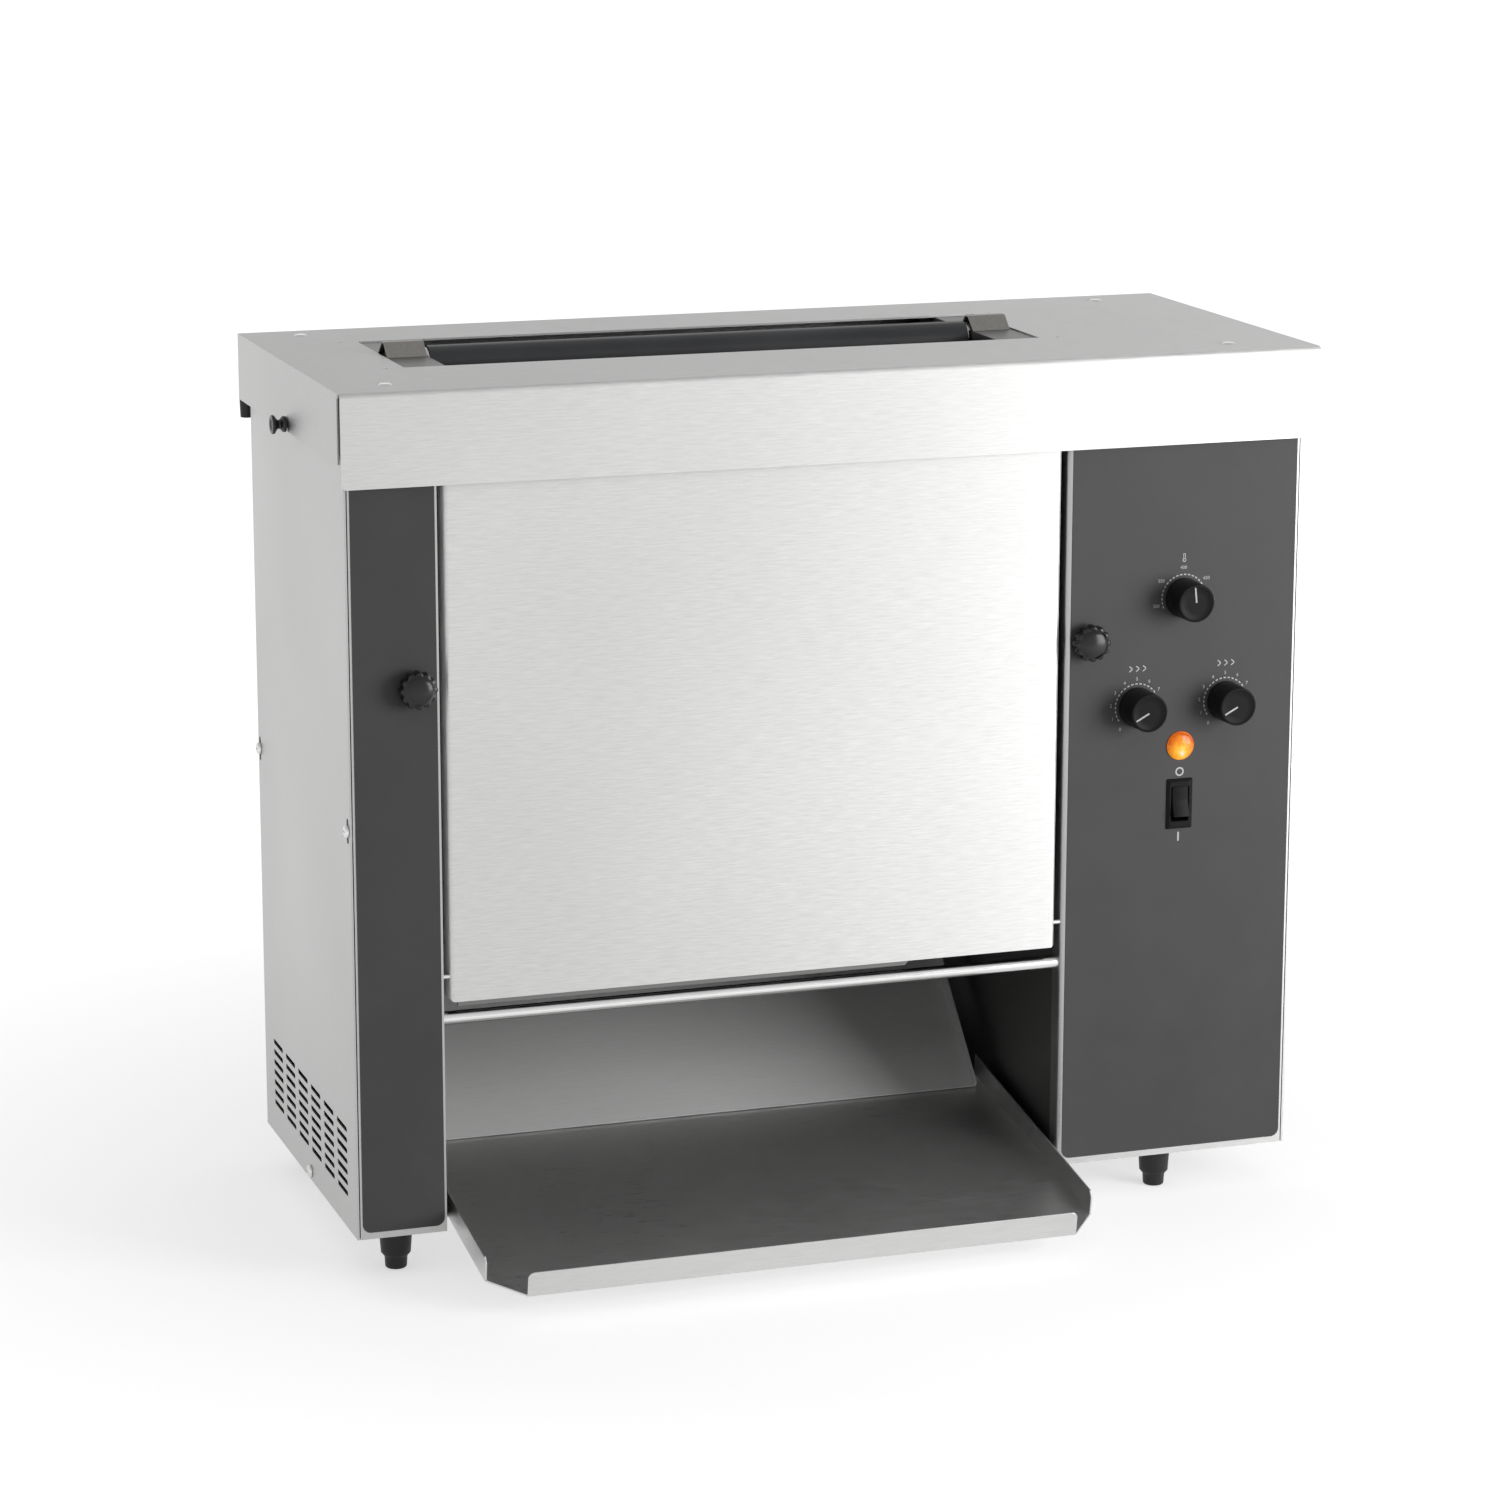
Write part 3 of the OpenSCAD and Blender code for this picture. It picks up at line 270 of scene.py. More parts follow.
mats = {
    "body_steel": brushed("body_steel", (0.50, 0.50, 0.496), 0.42, "X", "Y", spread=0.09, stretch=0.7),
    # cover_steel: painted shade darkens the lid's top to 0.86 and its sides to 0.80 of its colour
    "cover_steel": brushed("cover_steel", (0.725, 0.725, 0.72), 0.50, "X", "Y", top=0.86, flank_shade=0.80,
                           spread=0.11, stretch=0.8),
    "door_steel": brushed("door_steel", (0.725, 0.725, 0.72), 0.50, "X", "Z", spread=0.12, stretch=0.8),
    # inner_steel: its low base colour is painted shade, for the inside of the bay where little light falls
    "inner_steel": brushed("inner_steel", (0.18, 0.18, 0.177), 0.40, "X", "Z"),
    "tray_steel": brushed("tray_steel", (0.66, 0.66, 0.655), 0.32, "X", "Y", spread=0.05, stretch=0.5,
                          metal=0.9),
    "chute_steel": brushed("chute_steel", (0.74, 0.74, 0.735), 0.55, "X", "Y", spread=0.04, metal=0.04,
                           gloss=0.08),
    "bright_steel": brushed("bright_steel", (0.72, 0.72, 0.715), 0.20, "X", "Y", spread=0.03, bump=0.03),
    "clip_steel": brushed("clip_steel", (0.30, 0.29, 0.275), 0.40, "Y", "Y", spread=0.12),
    "aluminium": brushed("aluminium", (0.62, 0.62, 0.63), 0.30, "X", "Z"),
    "heater_steel": brushed("heater_steel", (0.26, 0.24, 0.22), 0.42, "X", "X", spread=0.2),
    "overlay_grey": moulded("overlay_grey", (0.104, 0.104, 0.106), 0.46, 2600.0, 0.18, 0.06,
                            Specular_IOR_Level=0.2),
    "knob_black": moulded("knob_black", (0.010, 0.010, 0.0105), 0.38, 1500.0, 0.06, Specular_IOR_Level=0.11),
    "grip_black": moulded("grip_black", (0.009, 0.009, 0.0095), 0.28, 1200.0, 0.03, Specular_IOR_Level=0.55),
    "adjuster_black": moulded("adjuster_black", (0.009, 0.009, 0.0095), 0.22, 1200.0, 0.03,
                              Specular_IOR_Level=0.4),
    "foot_rubber": moulded("foot_rubber", (0.016, 0.016, 0.017), 0.5, 1500.0, 0.25, Specular_IOR_Level=0.4),
    "belt_rubber": moulded("belt_rubber", (0.030, 0.029, 0.028), 0.52, 1300.0, 0.3),
    "motor_grey": moulded("motor_grey", (0.15, 0.15, 0.16), 0.42, 500.0, 0.3, 0.1),
    "release_cloth": cloth("release_cloth"),
    "amber_lens": amber("amber_lens"),
    "board_green": board("board_green"),
    "white_print": moulded("white_print", (0.74, 0.74, 0.73), 0.45, 2200.0, 0.05, 0.06),
}

# CAD nodes: materials, and rolled edges on sheet and turned parts
slot_of = {s["node"]: s["material_slot"] for s in frame["record"]["subparts"]}
# bevel widths in mm, where they differ from the usual one, and nodes that are too thin or fine to bevel
USUAL_EDGE = 0.3
EDGE = {"top_cover": 0.45, "bun_tray": 0.45, "left_sheet_clip": 0.4, "right_sheet_clip": 0.4, "feet": 0.35,
        "cord_gland": 0.4, "front_door": 0.5, "platen": 0.8, "front_gear_motor": 0.8, "rear_gear_motor": 0.8}
THIN = {"left_front_overlay", "control_overlay", "cover_rivets", "guard_rod", "door_pins", "heating_elements"}
# what counts as one point before and after the bevel, and the angles of flat faces and of edges in degrees
SEAM, CORNER = 0.01 * MM, 0.002 * MM
FLAT_ANGLE, EDGE_ANGLE = 0.4, 38


def finish_edges(o, width):
    """Cleans a node's mesh with modifiers and rounds its edges by width in mm."""
    weld = o.modifiers.new("weld", "WELD")
    weld.merge_threshold = SEAM
    flat = o.modifiers.new("flat", "DECIMATE")
    flat.decimate_type = "DISSOLVE"
    flat.angle_limit = math.radians(FLAT_ANGLE)
    bevel = o.modifiers.new("edges", "BEVEL")
    bevel.limit_method = "ANGLE"
    bevel.angle_limit = math.radians(EDGE_ANGLE)
    bevel.width = width * MM
    bevel.segments = 2
    bevel.use_clamp_overlap = True
    corners = o.modifiers.new("corners", "WELD")
    corners.merge_threshold = CORNER
    o.modifiers.new("normals", "WEIGHTED_NORMAL").keep_sharp = False


for name, o in nodes.items():
    o.data.materials.clear()
    o.data.materials.append(mats[slot_of[name]])
    if name not in THIN:
        finish_edges(o, EDGE.get(name, USUAL_EDGE))


# mesh helpers
def piece(name, verts, faces, slot, body, replaces=(), mat=None, sharp=35):
    """Makes a piece that rides on body. Edges sharper than sharp, in degrees, stay hard."""
    mesh = bpy.data.meshes.new(name)
    mesh.from_pydata([tuple(v) for v in verts], [], faces)
    bm = bmesh.new()
    bm.from_mesh(mesh)
    bmesh.ops.recalc_face_normals(bm, faces=bm.faces)
    bm.to_mesh(mesh)
    bm.free()
    for p in mesh.polygons:
        p.use_smooth = True
    mesh.set_sharp_from_angle(angle=math.radians(sharp))
    o = bpy.data.objects.new(name, mesh)
    scene.collection.objects.link(o)
    mesh.materials.append(mats[mat or slot])
    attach(o, body)
    if replaces:
        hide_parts(*replaces)
    return o


def axes(axis):
    """Two directions square to axis, so that u, v and axis are right-handed."""
    h = Vector(axis).normalized()
    u = Vector((0, 0, 1)).cross(h) if abs(h.z) < 0.9 else Vector((1, 0, 0))
    u.normalize()
    return u, h.cross(u), h


def turned(profile, centre, axis, seg=64, shape=None):
    """A turned form: (radius, height) pairs in mm about axis. shape may change radius and height by angle."""
    u, v, h = axes(axis)
    centre = Vector(centre)
    verts, faces, rings = [], [], []
    for r, z in profile:
        if r < 1e-6:
            rings.append([len(verts)])
            verts.append(centre + h * z * MM)
            continue
        ring = []
        for i in range(seg):
            a = 2 * math.pi * i / seg
            rr, zz = shape(r, z, a) if shape else (r, z)
            ring.append(len(verts))
            verts.append(centre + (u * math.cos(a) + v * math.sin(a)) * rr * MM + h * zz * MM)
        rings.append(ring)
    for a, b in zip(rings, rings[1:]):
        for i in range(seg):
            j = (i + 1) % seg
            if len(a) == 1:
                faces.append((a[0], b[j], b[i]))
            elif len(b) == 1:
                faces.append((a[i], a[j], b[0]))
            else:
                faces.append((a[i], a[j], b[j], b[i]))
    return verts, faces


def arc(r, z, radius, start, stop, n=5):
    """Points of a round corner in a turned profile, angles in degrees."""
    return [(r + radius * math.cos(math.radians(start + (stop - start) * i / n)),
             z + radius * math.sin(math.radians(start + (stop - start) * i / n))) for i in range(n + 1)]


def domed(r, z, rise, first):
    """Points of a flattened dome in a turned profile, from the angle first, in degrees, up to near its top."""
    return [(r * math.cos(math.radians(t)), z + rise * math.sin(math.radians(t))) for t in range(first, 90, 8)]


def joined(*parts):
    """Several lists of points and faces as one."""
    verts, faces = [], []
    for v, f in parts:
        base = len(verts)
        verts += v
        faces += [tuple(base + i for i in face) for face in f]
    return verts, faces


def strip(points, thickness, place):
    """A flat closed shape: an outline in panel coordinates (mm), thickened towards the viewer."""
    n = len(points)
    verts = [place(x, z, 0.0) for x, z in points] + [place(x, z, thickness) for x, z in points]
    faces = [tuple(range(n)), tuple(range(2 * n - 1, n - 1, -1))]
    faces += [(i, (i + 1) % n, n + (i + 1) % n, n + i) for i in range(n)]
    return verts, faces


def bar(x0, z0, x1, z1, width):
    """Outline of a straight stroke."""
    d = Vector((x1 - x0, z1 - z0))
    d.normalize()
    n = Vector((-d.y, d.x)) * width / 2
    return [(x0 + n.x, z0 + n.y), (x0 - n.x, z0 - n.y), (x1 - n.x, z1 - n.y), (x1 + n.x, z1 + n.y)]


def front(y):
    """Places panel coordinates in mm on a plane that faces the front at depth y (metres)."""
    return lambda x, z, t: Vector((x * MM, y - t * MM, z * MM))


FRONT = (0, -1, 0)
panel_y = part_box("control_panel")[0].y
overlay_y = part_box("control_overlay")[0].y


def middle(node):
    """The middle of a node's box."""
    low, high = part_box(node)
    return (low + high) / 2


# dials, in mm: the shaft's radius and depth, and the pointer's start, end, width and thickness
SHAFT_R, SHAFT_DEPTH = 3, 11.2
POINTER_FROM, POINTER_TO, POINTER_W, POINTER_T = 0.3, 9.5, 0.95, 0.18


def dial(node, body, angle):
    """A dial with a rim, a sunk face and a white pointer at angle, in degrees clockwise from the top."""
    c = middle(node)
    centre = Vector((c.x, panel_y, c.z))
    low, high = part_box(node)
    face = (panel_y - low.y) / MM
    r = (high.x - low.x) / 2 / MM
    profile = [(0, -SHAFT_DEPTH), (SHAFT_R, -SHAFT_DEPTH), (SHAFT_R, 1.0)]
    profile += arc(r - 0.5, 1.5, 0.5, -90, 0, 3)
    profile += [(r - 0.2, face * 0.5), (r - 0.45, face - 1.0)] + arc(r - 1.2, face - 0.75, 0.75, 0, 90, 4)
    sunk = face - 0.35
    profile += [(r - 1.6, face), (r - 1.9, face - 0.25), (r - 2.1, sunk), (6.0, sunk), (0, sunk)]
    piece(node + "_moulding", *turned(profile, centre, FRONT, 72), "knob_black", body, (node,))
    a = math.radians(angle)
    sx, sz = math.sin(a), math.cos(a)
    x, z = c.x / MM, c.z / MM
    line = bar(x + sx * POINTER_FROM, z + sz * POINTER_FROM,
               x + sx * POINTER_TO, z + sz * POINTER_TO, POINTER_W)
    place = front(panel_y - (face - 0.4) * MM)
    piece(node + "_pointer", *strip(line, POINTER_T, place), None, body, mat="white_print")


dial("temperature_knob", "temperature_dial", -6)
dial("front_speed_knob", "front_speed_dial", -118)
dial("rear_speed_knob", "rear_speed_dial", -118)


# fluted knobs: how many flutes, their depth and where they begin, in mm from the axis and the panel
FLUTES, FLUTE_DEPTH, FLUTE_FROM_R, FLUTE_TO_Z = 12, 1.35, 7.2, 10.6


def fluted(node, body):
    """A fluted knob with a domed face, and the shank behind it."""
    c = middle(node)
    centre = Vector((c.x, panel_y, c.z))
    tail = -(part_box(node)[1].y - panel_y) / MM
    profile = [(0, tail), (3.4, tail), (4, tail + 0.6), (4, 0.9), (6.6, 0.9), (7, 1.3), (7, 2.9), (8.4, 3.0)]
    profile += arc(10.0, 4.0, 1.0, -90, 0, 4) + [(11, 6.5)] + arc(9.4, 8.9, 1.6, 0, 70, 5)
    profile += [(9.2, 10.5), (8.7, 10.75)]
    profile += domed(8.2, 10.75, 2.45, 10) + [(0, 13.2)]

    def lobes(r, z, a):
        if r > FLUTE_FROM_R and z < FLUTE_TO_Z:
            dip = (0.5 - 0.5 * math.cos(FLUTES * a)) ** 1.7
            r -= FLUTE_DEPTH * dip * min(1.0, (r - FLUTE_FROM_R) / 2.5)
        return r, z

    knob = turned(profile, centre, FRONT, 144, lobes)
    piece(node + "_moulding", *knob, "adjuster_black", body, (node,), sharp=50)


fluted("left_adjuster_knob", "left_adjuster")
fluted("right_adjuster_knob", "right_adjuster")

# pilot lens: a domed moulding with a rim
c = middle("pilot_lens")
lens_profile = [(0, 0.5), (8.6, 0.5), (8.8, 0.7), (8.8, 1.0), (8.6, 1.3), (8.25, 1.45), (8.1, 1.5)]
lens_profile += domed(8.1, 1.5, 2.3, 8) + [(0, 3.8)]
dome = turned(lens_profile, (c.x, panel_y, c.z), FRONT, 72)
piece("pilot_lens_dome", *dome, "amber_lens", "frame", ("pilot_lens",))


# rocker switch
def rounded(w, h, r, n=4):
    """A rounded rectangle's outline about its middle, in mm, counter-clockwise."""
    pts = []
    for sx, sz, start in ((1, 1, 0), (-1, 1, 90), (-1, -1, 180), (1, -1, 270)):
        for i in range(n + 1):
            a = math.radians(start + 90 * i / n)
            pts.append((sx * (w / 2 - r) + r * math.cos(a), sz * (h / 2 - r) + r * math.sin(a)))
    return pts


def loft(loops, close=True):
    """Skins loops of equally many points; the first and last are capped where close is set."""
    n = len(loops[0])
    verts = [p for loop in loops for p in loop]
    faces = []
    for k in range(len(loops) - 1):
        for i in range(n):
            j = (i + 1) % n
            faces.append((k * n + i, k * n + j, (k + 1) * n + j, (k + 1) * n + i))
    if close:
        faces += [tuple(range(n)), tuple(range((len(loops) - 1) * n, len(loops) * n))]
    return verts, faces


c = middle("switch_frame")


def loop(w, h, r, depth):
    """A rounded loop about the switch's middle, depth in mm before the panel."""
    return [Vector((c.x + x * MM, panel_y - depth * MM, c.z + z * MM)) for x, z in rounded(w, h, r)]


back = -(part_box("switch_frame")[1].y - panel_y) / MM
bezel = [loop(13.8, 27.8, 0.8, back), loop(13.8, 27.8, 0.8, 0.5), loop(17.0, 31.0, 0.7, 0.5),
         loop(17.0, 31.0, 0.7, 0.8), loop(13.8, 27.8, 0.7, 2.15), loop(13.3, 27.3, 0.7, 2.3),
         loop(11.8, 21.8, 0.8, 2.3), loop(11.0, 21.0, 0.6, 1.8), loop(11.0, 21.0, 0.6, -12.0)]
piece("switch_frame_moulding", *loft(bezel), "knob_black", "frame", ("switch_frame",), sharp=25)

# rocker: half its width and height in mm, its lean at rest, and its section as depth and height at the pivot
c = middle("power_rocker")
half_w = 5.1
half_h = 9.1
lean = Matrix.Rotation(math.radians(-10), 3, "X")
pivot = Vector((c.x, panel_y + 2 * MM, c.z))
steps = 12
outline = []
for i in range(steps + 1):
    z = -half_h + 2 * half_h * i / steps
    outline.append((-4.9 - 1.3 * abs(z) / half_h, z))
outline += [(-1.6, half_h), (5, 4), (5, -4), (-1.6, -half_h)]
loops = []
for x, inset in ((-half_w, 0.5), (-half_w + 0.25, 0.15), (-half_w + 0.7, 0.0), (half_w - 0.7, 0.0),
                 (half_w - 0.25, 0.15), (half_w, 0.5)):
    ring = []
    for y, z in outline:
        k = 1 - inset / half_h
        ring.append(pivot + lean @ Vector((x * MM, (y + (inset if y < -2 else 0)) * MM, z * k * MM)))
    loops.append(ring)
reach = half_w + 1.2
pin = turned([(0, -reach), (1, -reach), (1, reach), (0, reach)], pivot, (1, 0, 0), 24)
piece("power_rocker_moulding", *joined(loft(loops), pin), "knob_black", "rocker", ("power_rocker",), sharp=30)

# pan-head screws, found by the points of the node's heads that lie furthest out
low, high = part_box("side_panel_screws")
points = [v.co.copy() for v in nodes["side_panel_screws"].data.vertices]
TIP_DEPTH = 0.2 * MM
HEAD_REACH = 20 * MM
sides = []
for sign in (-1, 1):
    tip = low.x if sign < 0 else high.x
    groups = []
    for v in points:
        if abs(v.x - tip) >= TIP_DEPTH:
            continue
        for g in groups:
            if (g[0] - v).length < HEAD_REACH:
                g.append(v)
                break
        else:
            groups.append([v])
    sides += [(sign, sum(g, Vector()) / len(g)) for g in groups]


def cross(r, z, a):
    """Sinks a cross recess into a screw's head."""
    if z > 1.3 and r < 2.6:
        x, y = abs(r * math.cos(a)), abs(r * math.sin(a))
        if min(x, y) < 0.42 and max(x, y) < 2.1:
            z -= 0.9
    return r, z


HEAD_H = 2.4 * MM
head = [(0, -6), (2, -6), (2, 0), (3.7, 0), (3.9, 0.2), (3.9, 0.7), (3.75, 1.15), (3.45, 1.6), (3.0, 1.95)]
crown = (2.3, 2.15, 2.05, 1.7, 1.3, 0.9, 0.6, 0.45, 0.3)
head += [(2.6, 2.15)] + [(r, 2.2 + 0.2 * (1 - (r / 2.6) ** 2)) for r in crown] + [(0, 1.5)]
screws = []
for sign, mid in sides:
    wall = low.x + HEAD_H if sign < 0 else high.x - HEAD_H
    screws.append(turned(head, (wall, mid.y, mid.z), (sign, 0, 0), 48, cross))
piece("side_panel_screw_heads", *joined(*screws), "bright_steel", "frame", ("side_panel_screws",), sharp=40)


# belts, in metres: thickness, distance of the cross grooves, and their depth
BELT_T, GROOVE_PITCH, GROOVE_DEPTH = 1.5 * MM, 5.5 * MM, 0.45 * MM


def belt(node, body):
    """A rubber loop with cross grooves."""
    low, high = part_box(node)
    y = (low.y + high.y) / 2
    r = (high.y - low.y) / 2
    z0, z1 = low.z + r, high.z - r
    run = z1 - z0
    total = 2 * run + 2 * math.pi * r
    grooves = round(total / GROOVE_PITCH)
    pitch = total / grooves

    def at(s, depth):
        """Y and Z at the distance s along the loop, depth below its outer face."""
        rr = r - depth
        s %= total
        if s < run:
            return y - rr, z0 + s
        s -= run
        if s < math.pi * r:
            a = s / r
            return y - rr * math.cos(a), z1 + rr * math.sin(a)
        s -= math.pi * r
        if s < run:
            return y + rr, z1 - s
        a = (s - run) / r
        return y + rr * math.cos(a), z0 - rr * math.sin(a)

    outer, inner = [], []
    for k in range(grooves):
        for share, depth in ((0.0, 0.0), (0.62, 0.0), (0.70, GROOVE_DEPTH), (0.92, GROOVE_DEPTH)):
            s = (k + share) * pitch
            outer.append(at(s, depth))
            inner.append(at(s, BELT_T))
    loops = []
    for x, ring in ((low.x, inner), (low.x, outer), (high.x, outer), (high.x, inner)):
        loops.append([Vector((x, *p)) for p in ring])
    verts, faces = loft(loops, False)
    n = len(outer)
    faces += [(3 * n + i, 3 * n + (i + 1) % n, (i + 1) % n, i) for i in range(n)]
    piece(node + "_ribbed", verts, faces, "belt_rubber", body, (node,), sharp=28)


belt("front_belt", "carriage")
belt("rear_belt", "frame")

# release sheet: cloth draped over the hanger bar
low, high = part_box("release_sheet")
y_mid = (low.y + high.y) / 2
half_d = (high.y - low.y) / 2
r_cloth = half_d - 0.3 * MM
ridge = high.z - half_d
leg = ridge - low.z
sheet_w = high.x - low.x
sheet_l = 2 * leg + math.pi * r_cloth
across, down = 44, 150
verts = []
for j in range(down + 1):
    s = sheet_l * j / down
    for i in range(across + 1):
        f = i / across
        x = low.x + sheet_w * f
        if s < leg:
            hang, y, z, out = leg - s, y_mid - r_cloth, low.z + s, Vector((0, -1, 0))
        elif s > sheet_l - leg:
            hang = s - (sheet_l - leg)
            y, z, out = y_mid + r_cloth, ridge - hang, Vector((0, 1, 0))
        else:
            a = (s - leg) / r_cloth
            out = Vector((0, -math.cos(a), math.sin(a)))
            hang, y, z = 0.0, y_mid + out.y * r_cloth, ridge + out.z * r_cloth
        h = hang / leg
        broad = 0.45 * math.sin(2 * math.pi * (2.3 * f + 0.35 * h))
        narrow = 0.3 * math.sin(2 * math.pi * (5.1 * f - 0.6 * h) + 1.3)
        hem = 2.2 * max(0.0, h - 0.9) * (1 + 0.6 * math.sin(9 * f + 1))
        lift = (0.75 + (broad + narrow)) * min(1.0, h * 2.5) + hem
        verts.append(Vector((x, y, z)) + out * lift * MM)
row = across + 1
faces = [(j * row + i, j * row + i + 1, (j + 1) * row + i + 1, (j + 1) * row + i)
         for j in range(down) for i in range(across)]
drape = piece("release_sheet_drape", verts, faces, "release_cloth", "frame", ("release_sheet",), sharp=180)


# printed marks on the control panel, in mm: how far strokes are sunk and stand proud, and the numerals' size
PRINT_SUNK, PRINT_T = 0.005, 0.04
NUMERAL_SIZE = 2.9
# a dial's ticks: distance from its axis, and width, which is also half their length
TICK_R, TICK_W = 14.0, 0.75


def glyphs(text, x, z, size):
    """Numerals as closed shapes, centred at x, z in mm."""
    curve = bpy.data.curves.new("numeral", "FONT")
    curve.body = text
    curve.size = size * MM
    curve.align_x = "CENTER"
    curve.align_y = "CENTER"
    curve.extrude = 0.02 * MM
    curve.resolution_u = 3
    o = bpy.data.objects.new("numeral", curve)
    scene.collection.objects.link(o)
    bpy.context.view_layer.update()
    mesh = o.evaluated_get(bpy.context.evaluated_depsgraph_get()).to_mesh()
    place = front(overlay_y - 0.025 * MM)
    verts = [place(x + v.co.x / MM, z + v.co.y / MM, v.co.z / MM) for v in mesh.vertices]
    faces = [tuple(p.vertices) for p in mesh.polygons]
    bpy.data.objects.remove(o)
    bpy.data.curves.remove(curve)
    return verts, faces


def ring_mark(x, z, r, width, n=40):
    """A flat ring of n sides about x, z."""
    place = front(overlay_y - PRINT_SUNK * MM)
    turns = [2 * math.pi * i / n for i in range(n)]
    verts, faces = [], []
    for t in (0.0, PRINT_T):
        for rr in (r - width / 2, r + width / 2):
            verts += [place(x + rr * math.cos(a), z + rr * math.sin(a), t) for a in turns]
    for i in range(n):
        j = (i + 1) % n
        faces += [(i, j, n + j, n + i), (2 * n + i, 2 * n + j, 3 * n + j, 3 * n + i),
                  (i, j, 2 * n + j, 2 * n + i), (n + i, n + j, 3 * n + j, 3 * n + i)]
    return verts, faces


def stroke(x0, z0, x1, z1, width):
    """A straight printed line."""
    return strip(bar(x0, z0, x1, z1, width), PRINT_T, front(overlay_y - PRINT_SUNK * MM))


def dial_marks(name, node, numbers, first, last, ticks, radius, extra):
    """Ticks from first to last, in degrees clockwise from the top, numbers at radius, and a sign above."""
    c = middle(node)
    x, z = c.x / MM, c.z / MM
    parts = []
    for k in range(ticks):
        a = math.radians(first + (last - first) * k / (ticks - 1))
        mx, mz = x + TICK_R * math.sin(a), z + TICK_R * math.cos(a)
        tx, tz = math.cos(a) * TICK_W, -math.sin(a) * TICK_W
        parts.append(stroke(mx - tx, mz - tz, mx + tx, mz + tz, TICK_W))
    for text, angle in numbers:
        a = math.radians(angle)
        parts.append(glyphs(text, x + radius * math.sin(a), z + radius * math.cos(a), NUMERAL_SIZE))
    parts += extra(x, z)
    piece(name, *joined(*parts), None, "frame", mat="white_print", sharp=30)


def thermometer(x, z):
    """A thermometer over a dial."""
    z += 24.2
    return [ring_mark(x, z - 1.5, 0.95, 0.5, 24), stroke(x - 0.55, z - 0.8, x - 0.55, z + 2.2, 0.4),
            stroke(x + 0.55, z - 0.8, x + 0.55, z + 2.2, 0.4),
            stroke(x - 0.75, z + 2.3, x + 0.75, z + 2.3, 0.4)]


def chevrons(x, z):
    """Three chevrons over a dial, for speed."""
    z += 23.2
    parts = []
    for dx in (-4.4, 0.0, 4.4):
        parts += [stroke(x + dx - 1.0, z + 1.7, x + dx + 0.95, z + 0.15, 0.6),
                  stroke(x + dx + 0.95, z - 0.15, x + dx - 1.0, z - 1.7, 0.6)]
    return parts


speeds = [(str(i), -141 + 28 * i) for i in range(8)]
heats = [("300", -104), ("350", -54), ("400", -1), ("450", 53), ("500", 98)]
dial_marks("temperature_marks", "temperature_knob", heats, -112, 128, 24, 18.2, thermometer)
dial_marks("front_speed_marks", "front_speed_knob", speeds, -122, 52, 17, 17.0, chevrons)
dial_marks("rear_speed_marks", "rear_speed_knob", speeds, -122, 52, 17, 17.0, chevrons)
c = middle("switch_frame")
sx, sz = c.x / MM, c.z / MM
off_and_on = joined(ring_mark(sx, sz + 19.65, 2.3, 0.95), stroke(sx, sz - 23.3, sx, sz - 17.7, 1.1))
piece("switch_marks", *off_and_on, None, "frame", mat="white_print")


# floor: its tone to the eye and to bounced light, and the glow that lifts it to white between two distances
FLOOR_SEEN, FLOOR_BOUNCE = 0.76, 0.22
GLOW_FROM, GLOW_TO, GLOW_NEAR, GLOW_FAR = 0.35, 0.9, 0.54, 0.76


def floor_material():
    """Pale floor that keeps the shadow. To the eye and in reflections it lightens to white off the object."""
    mat = bpy.data.materials.new("floor_white")
    mat.use_nodes = True
    t = mat.node_tree
    t.nodes.clear()
    out = t.nodes.new("ShaderNodeOutputMaterial")
    diffuse = t.nodes.new("ShaderNodeBsdfDiffuse")
    path = t.nodes.new("ShaderNodeLightPath")
    tone = t.nodes.new("ShaderNodeMix")
    tone.data_type = "RGBA"
    tone.inputs[6].default_value = (FLOOR_SEEN, FLOOR_SEEN, FLOOR_SEEN, 1)
    tone.inputs[7].default_value = (FLOOR_BOUNCE, FLOOR_BOUNCE, FLOOR_BOUNCE, 1)
    t.links.new(path.outputs["Is Diffuse Ray"], tone.inputs[0])
    t.links.new(tone.outputs[2], diffuse.inputs["Color"])
    far = t.nodes.new("ShaderNodeVectorMath")
    far.operation = "LENGTH"
    t.links.new(t.nodes.new("ShaderNodeNewGeometry").outputs["Position"], far.inputs[0])
    pale = t.nodes.new("ShaderNodeMapRange")
    for i, v in enumerate((GLOW_FROM, GLOW_TO, GLOW_NEAR, GLOW_FAR), 1):
        pale.inputs[i].default_value = v
    t.links.new(far.outputs["Value"], pale.inputs[0])
    seen = t.nodes.new("ShaderNodeMath")
    seen.operation = "MAXIMUM"
    t.links.new(path.outputs["Is Camera Ray"], seen.inputs[0])
    t.links.new(path.outputs["Is Glossy Ray"], seen.inputs[1])
    level = t.nodes.new("ShaderNodeMath")
    level.operation = "MULTIPLY"
    t.links.new(seen.outputs[0], level.inputs[0])
    t.links.new(pale.outputs[0], level.inputs[1])
    glow = t.nodes.new("ShaderNodeEmission")
    t.links.new(level.outputs[0], glow.inputs["Strength"])
    add = t.nodes.new("ShaderNodeAddShader")
    t.links.new(diffuse.outputs[0], add.inputs[0])
    t.links.new(glow.outputs[0], add.inputs[1])
    t.links.new(add.outputs[0], out.inputs["Surface"])
    return mat


FLOOR_HALF = 30
mesh = bpy.data.meshes.new("floor")
mesh.from_pydata([(x * FLOOR_HALF, y * FLOOR_HALF, 0) for x, y in ((-1, -1), (1, -1), (1, 1), (-1, 1))], [],
                 [(0, 1, 2, 3)])
floor = bpy.data.objects.new("floor", mesh)
scene.collection.objects.link(floor)
mesh.materials.append(floor_material())

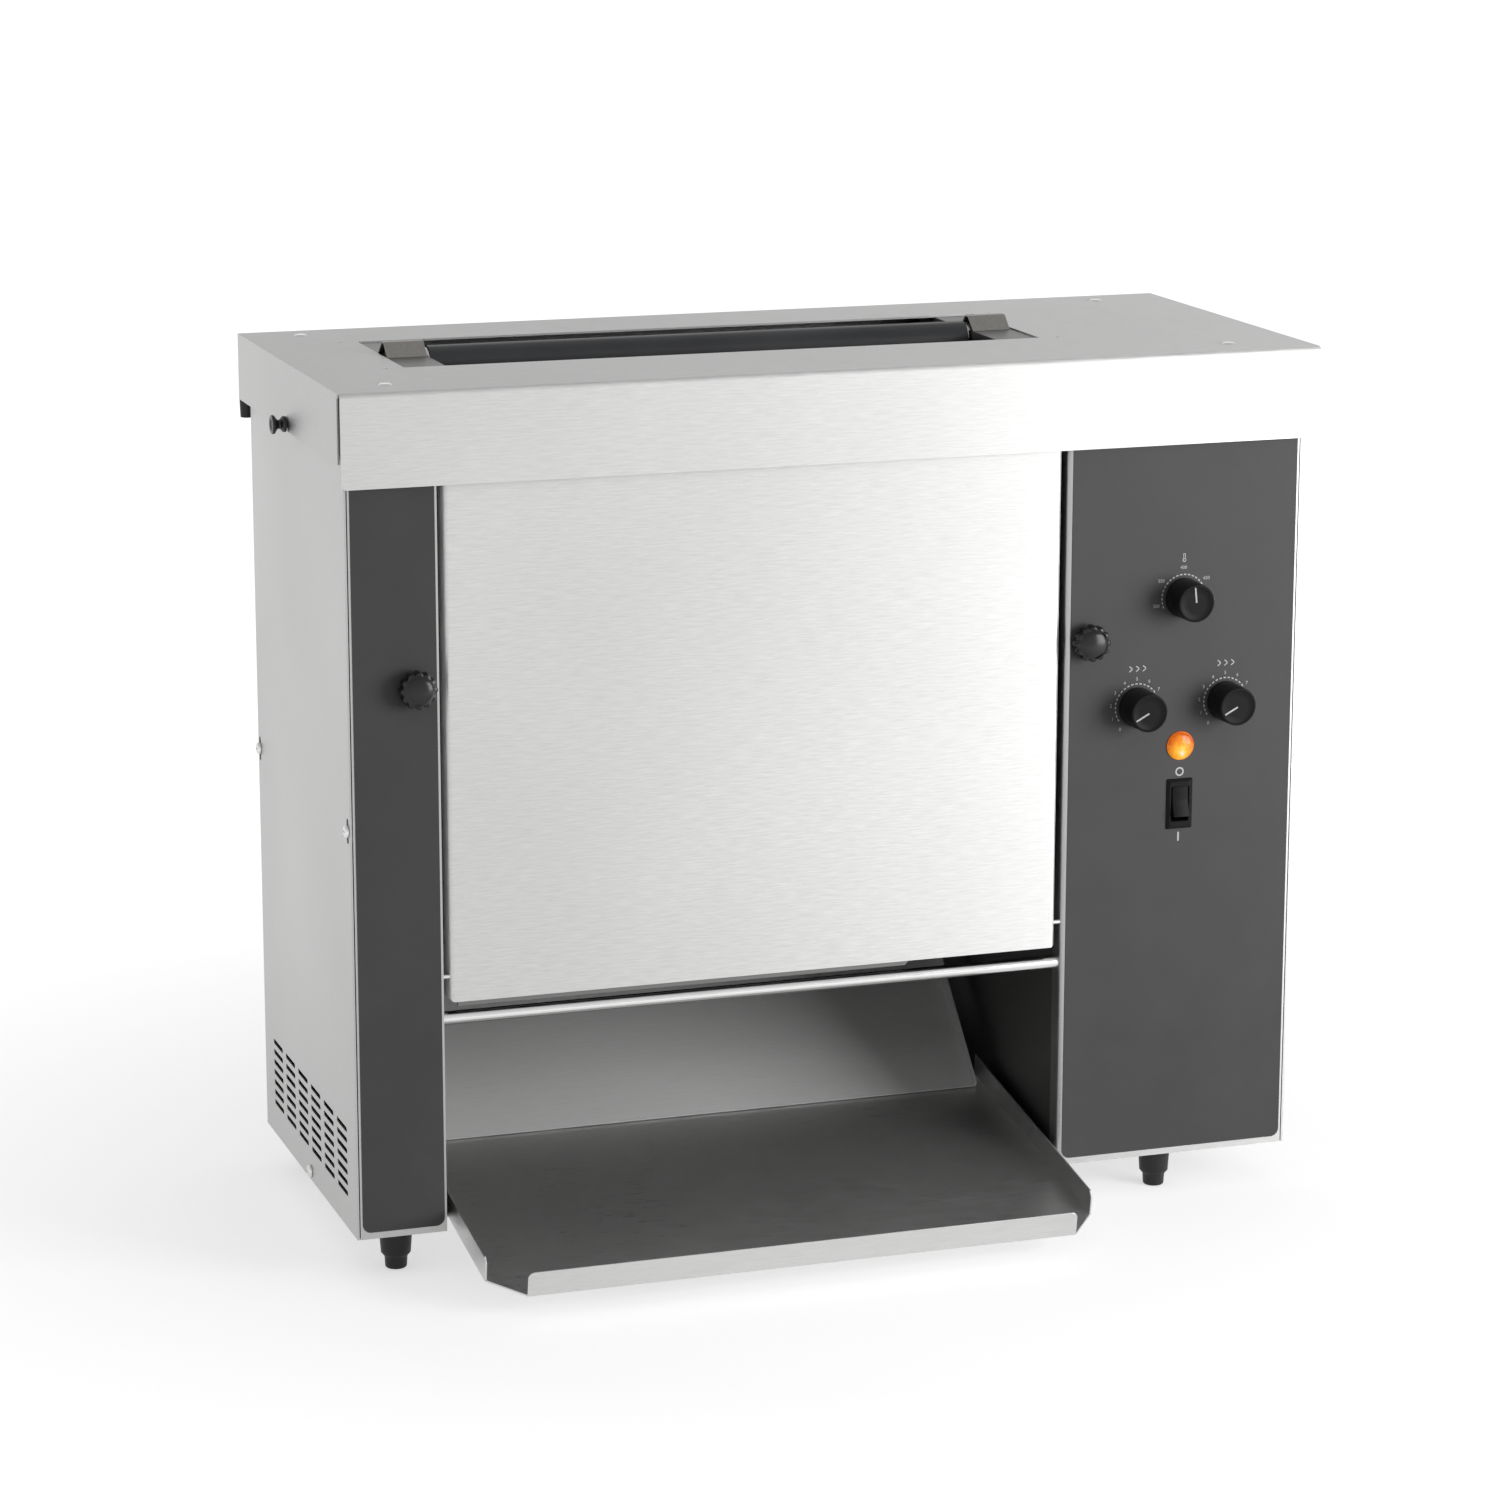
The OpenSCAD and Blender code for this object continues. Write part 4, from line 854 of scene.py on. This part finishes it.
# world: for each kind of ray, its strength at the horizon and overhead
SKY = (("Is Diffuse Ray", 0.08, 0.60), ("Is Glossy Ray", 1.0, 0.55), ("Is Camera Ray", 1.0, 1.0))
world = bpy.data.worlds.new("studio")
scene.world = world
world.use_nodes = True
t = world.node_tree
t.nodes.clear()
out = t.nodes.new("ShaderNodeOutputWorld")
sky = t.nodes.new("ShaderNodeBackground")
sky.inputs["Color"].default_value = (1, 1, 1, 1)
height = t.nodes.new("ShaderNodeSeparateXYZ")
t.links.new(t.nodes.new("ShaderNodeTexCoord").outputs["Generated"], height.inputs[0])
path = t.nodes.new("ShaderNodeLightPath")
level = None
for ray, low, high in SKY:
    dome = t.nodes.new("ShaderNodeMapRange")
    for i, v in enumerate((0.0, 1.0, low, high), 1):
        dome.inputs[i].default_value = v
    t.links.new(height.outputs["Z"], dome.inputs[0])
    n = t.nodes.new("ShaderNodeMath")
    n.operation = "MULTIPLY_ADD"
    t.links.new(path.outputs[ray], n.inputs[0])
    t.links.new(dome.outputs[0], n.inputs[1])
    n.inputs[2].default_value = 0.0
    if level:
        t.links.new(level, n.inputs[2])
    level = n.outputs[0]
t.links.new(level, sky.inputs["Strength"])
t.links.new(sky.outputs[0], out.inputs["Surface"])

# softbox on the right: sides and places in metres, power in watts
SOFTBOX_W, SOFTBOX_H = 0.86, 0.85
SOFTBOX_POWER = 14.5
SOFTBOX_AT, SOFTBOX_AIM = (1.15, -1.15, 0.50), (0.0, -0.05, 0.28)
softbox = bpy.data.lights.new("softbox", "AREA")
softbox.shape = "RECTANGLE"
softbox.size = SOFTBOX_W
softbox.size_y = SOFTBOX_H
softbox.energy = SOFTBOX_POWER
key = bpy.data.objects.new("softbox", softbox)
scene.collection.objects.link(key)
key.location = SOFTBOX_AT
key.rotation_euler = (Vector(SOFTBOX_AIM) - key.location).to_track_quat("-Z", "Y").to_euler()

# camera, solved from the photo's corners: lens and sensor in mm, place in metres, turns in degrees
LENS, SENSOR = 109.716, 36
CAMERA_AT = (-0.88496, -2.53525, 0.90558)
HEADING, TILT, ROLL = -18.64, 76.82, 0.066
lens = bpy.data.cameras.new("camera")
lens.lens = LENS
lens.sensor_width = SENSOR
lens.sensor_fit = "HORIZONTAL"
camera = bpy.data.objects.new("camera", lens)
scene.collection.objects.link(camera)
camera.location = CAMERA_AT
turns = [Matrix.Rotation(math.radians(a), 3, axis) for a, axis in ((HEADING, "Z"), (TILT, "X"), (ROLL, "Z"))]
camera.rotation_euler = (turns[0] @ turns[1] @ turns[2]).to_euler()
scene.camera = camera
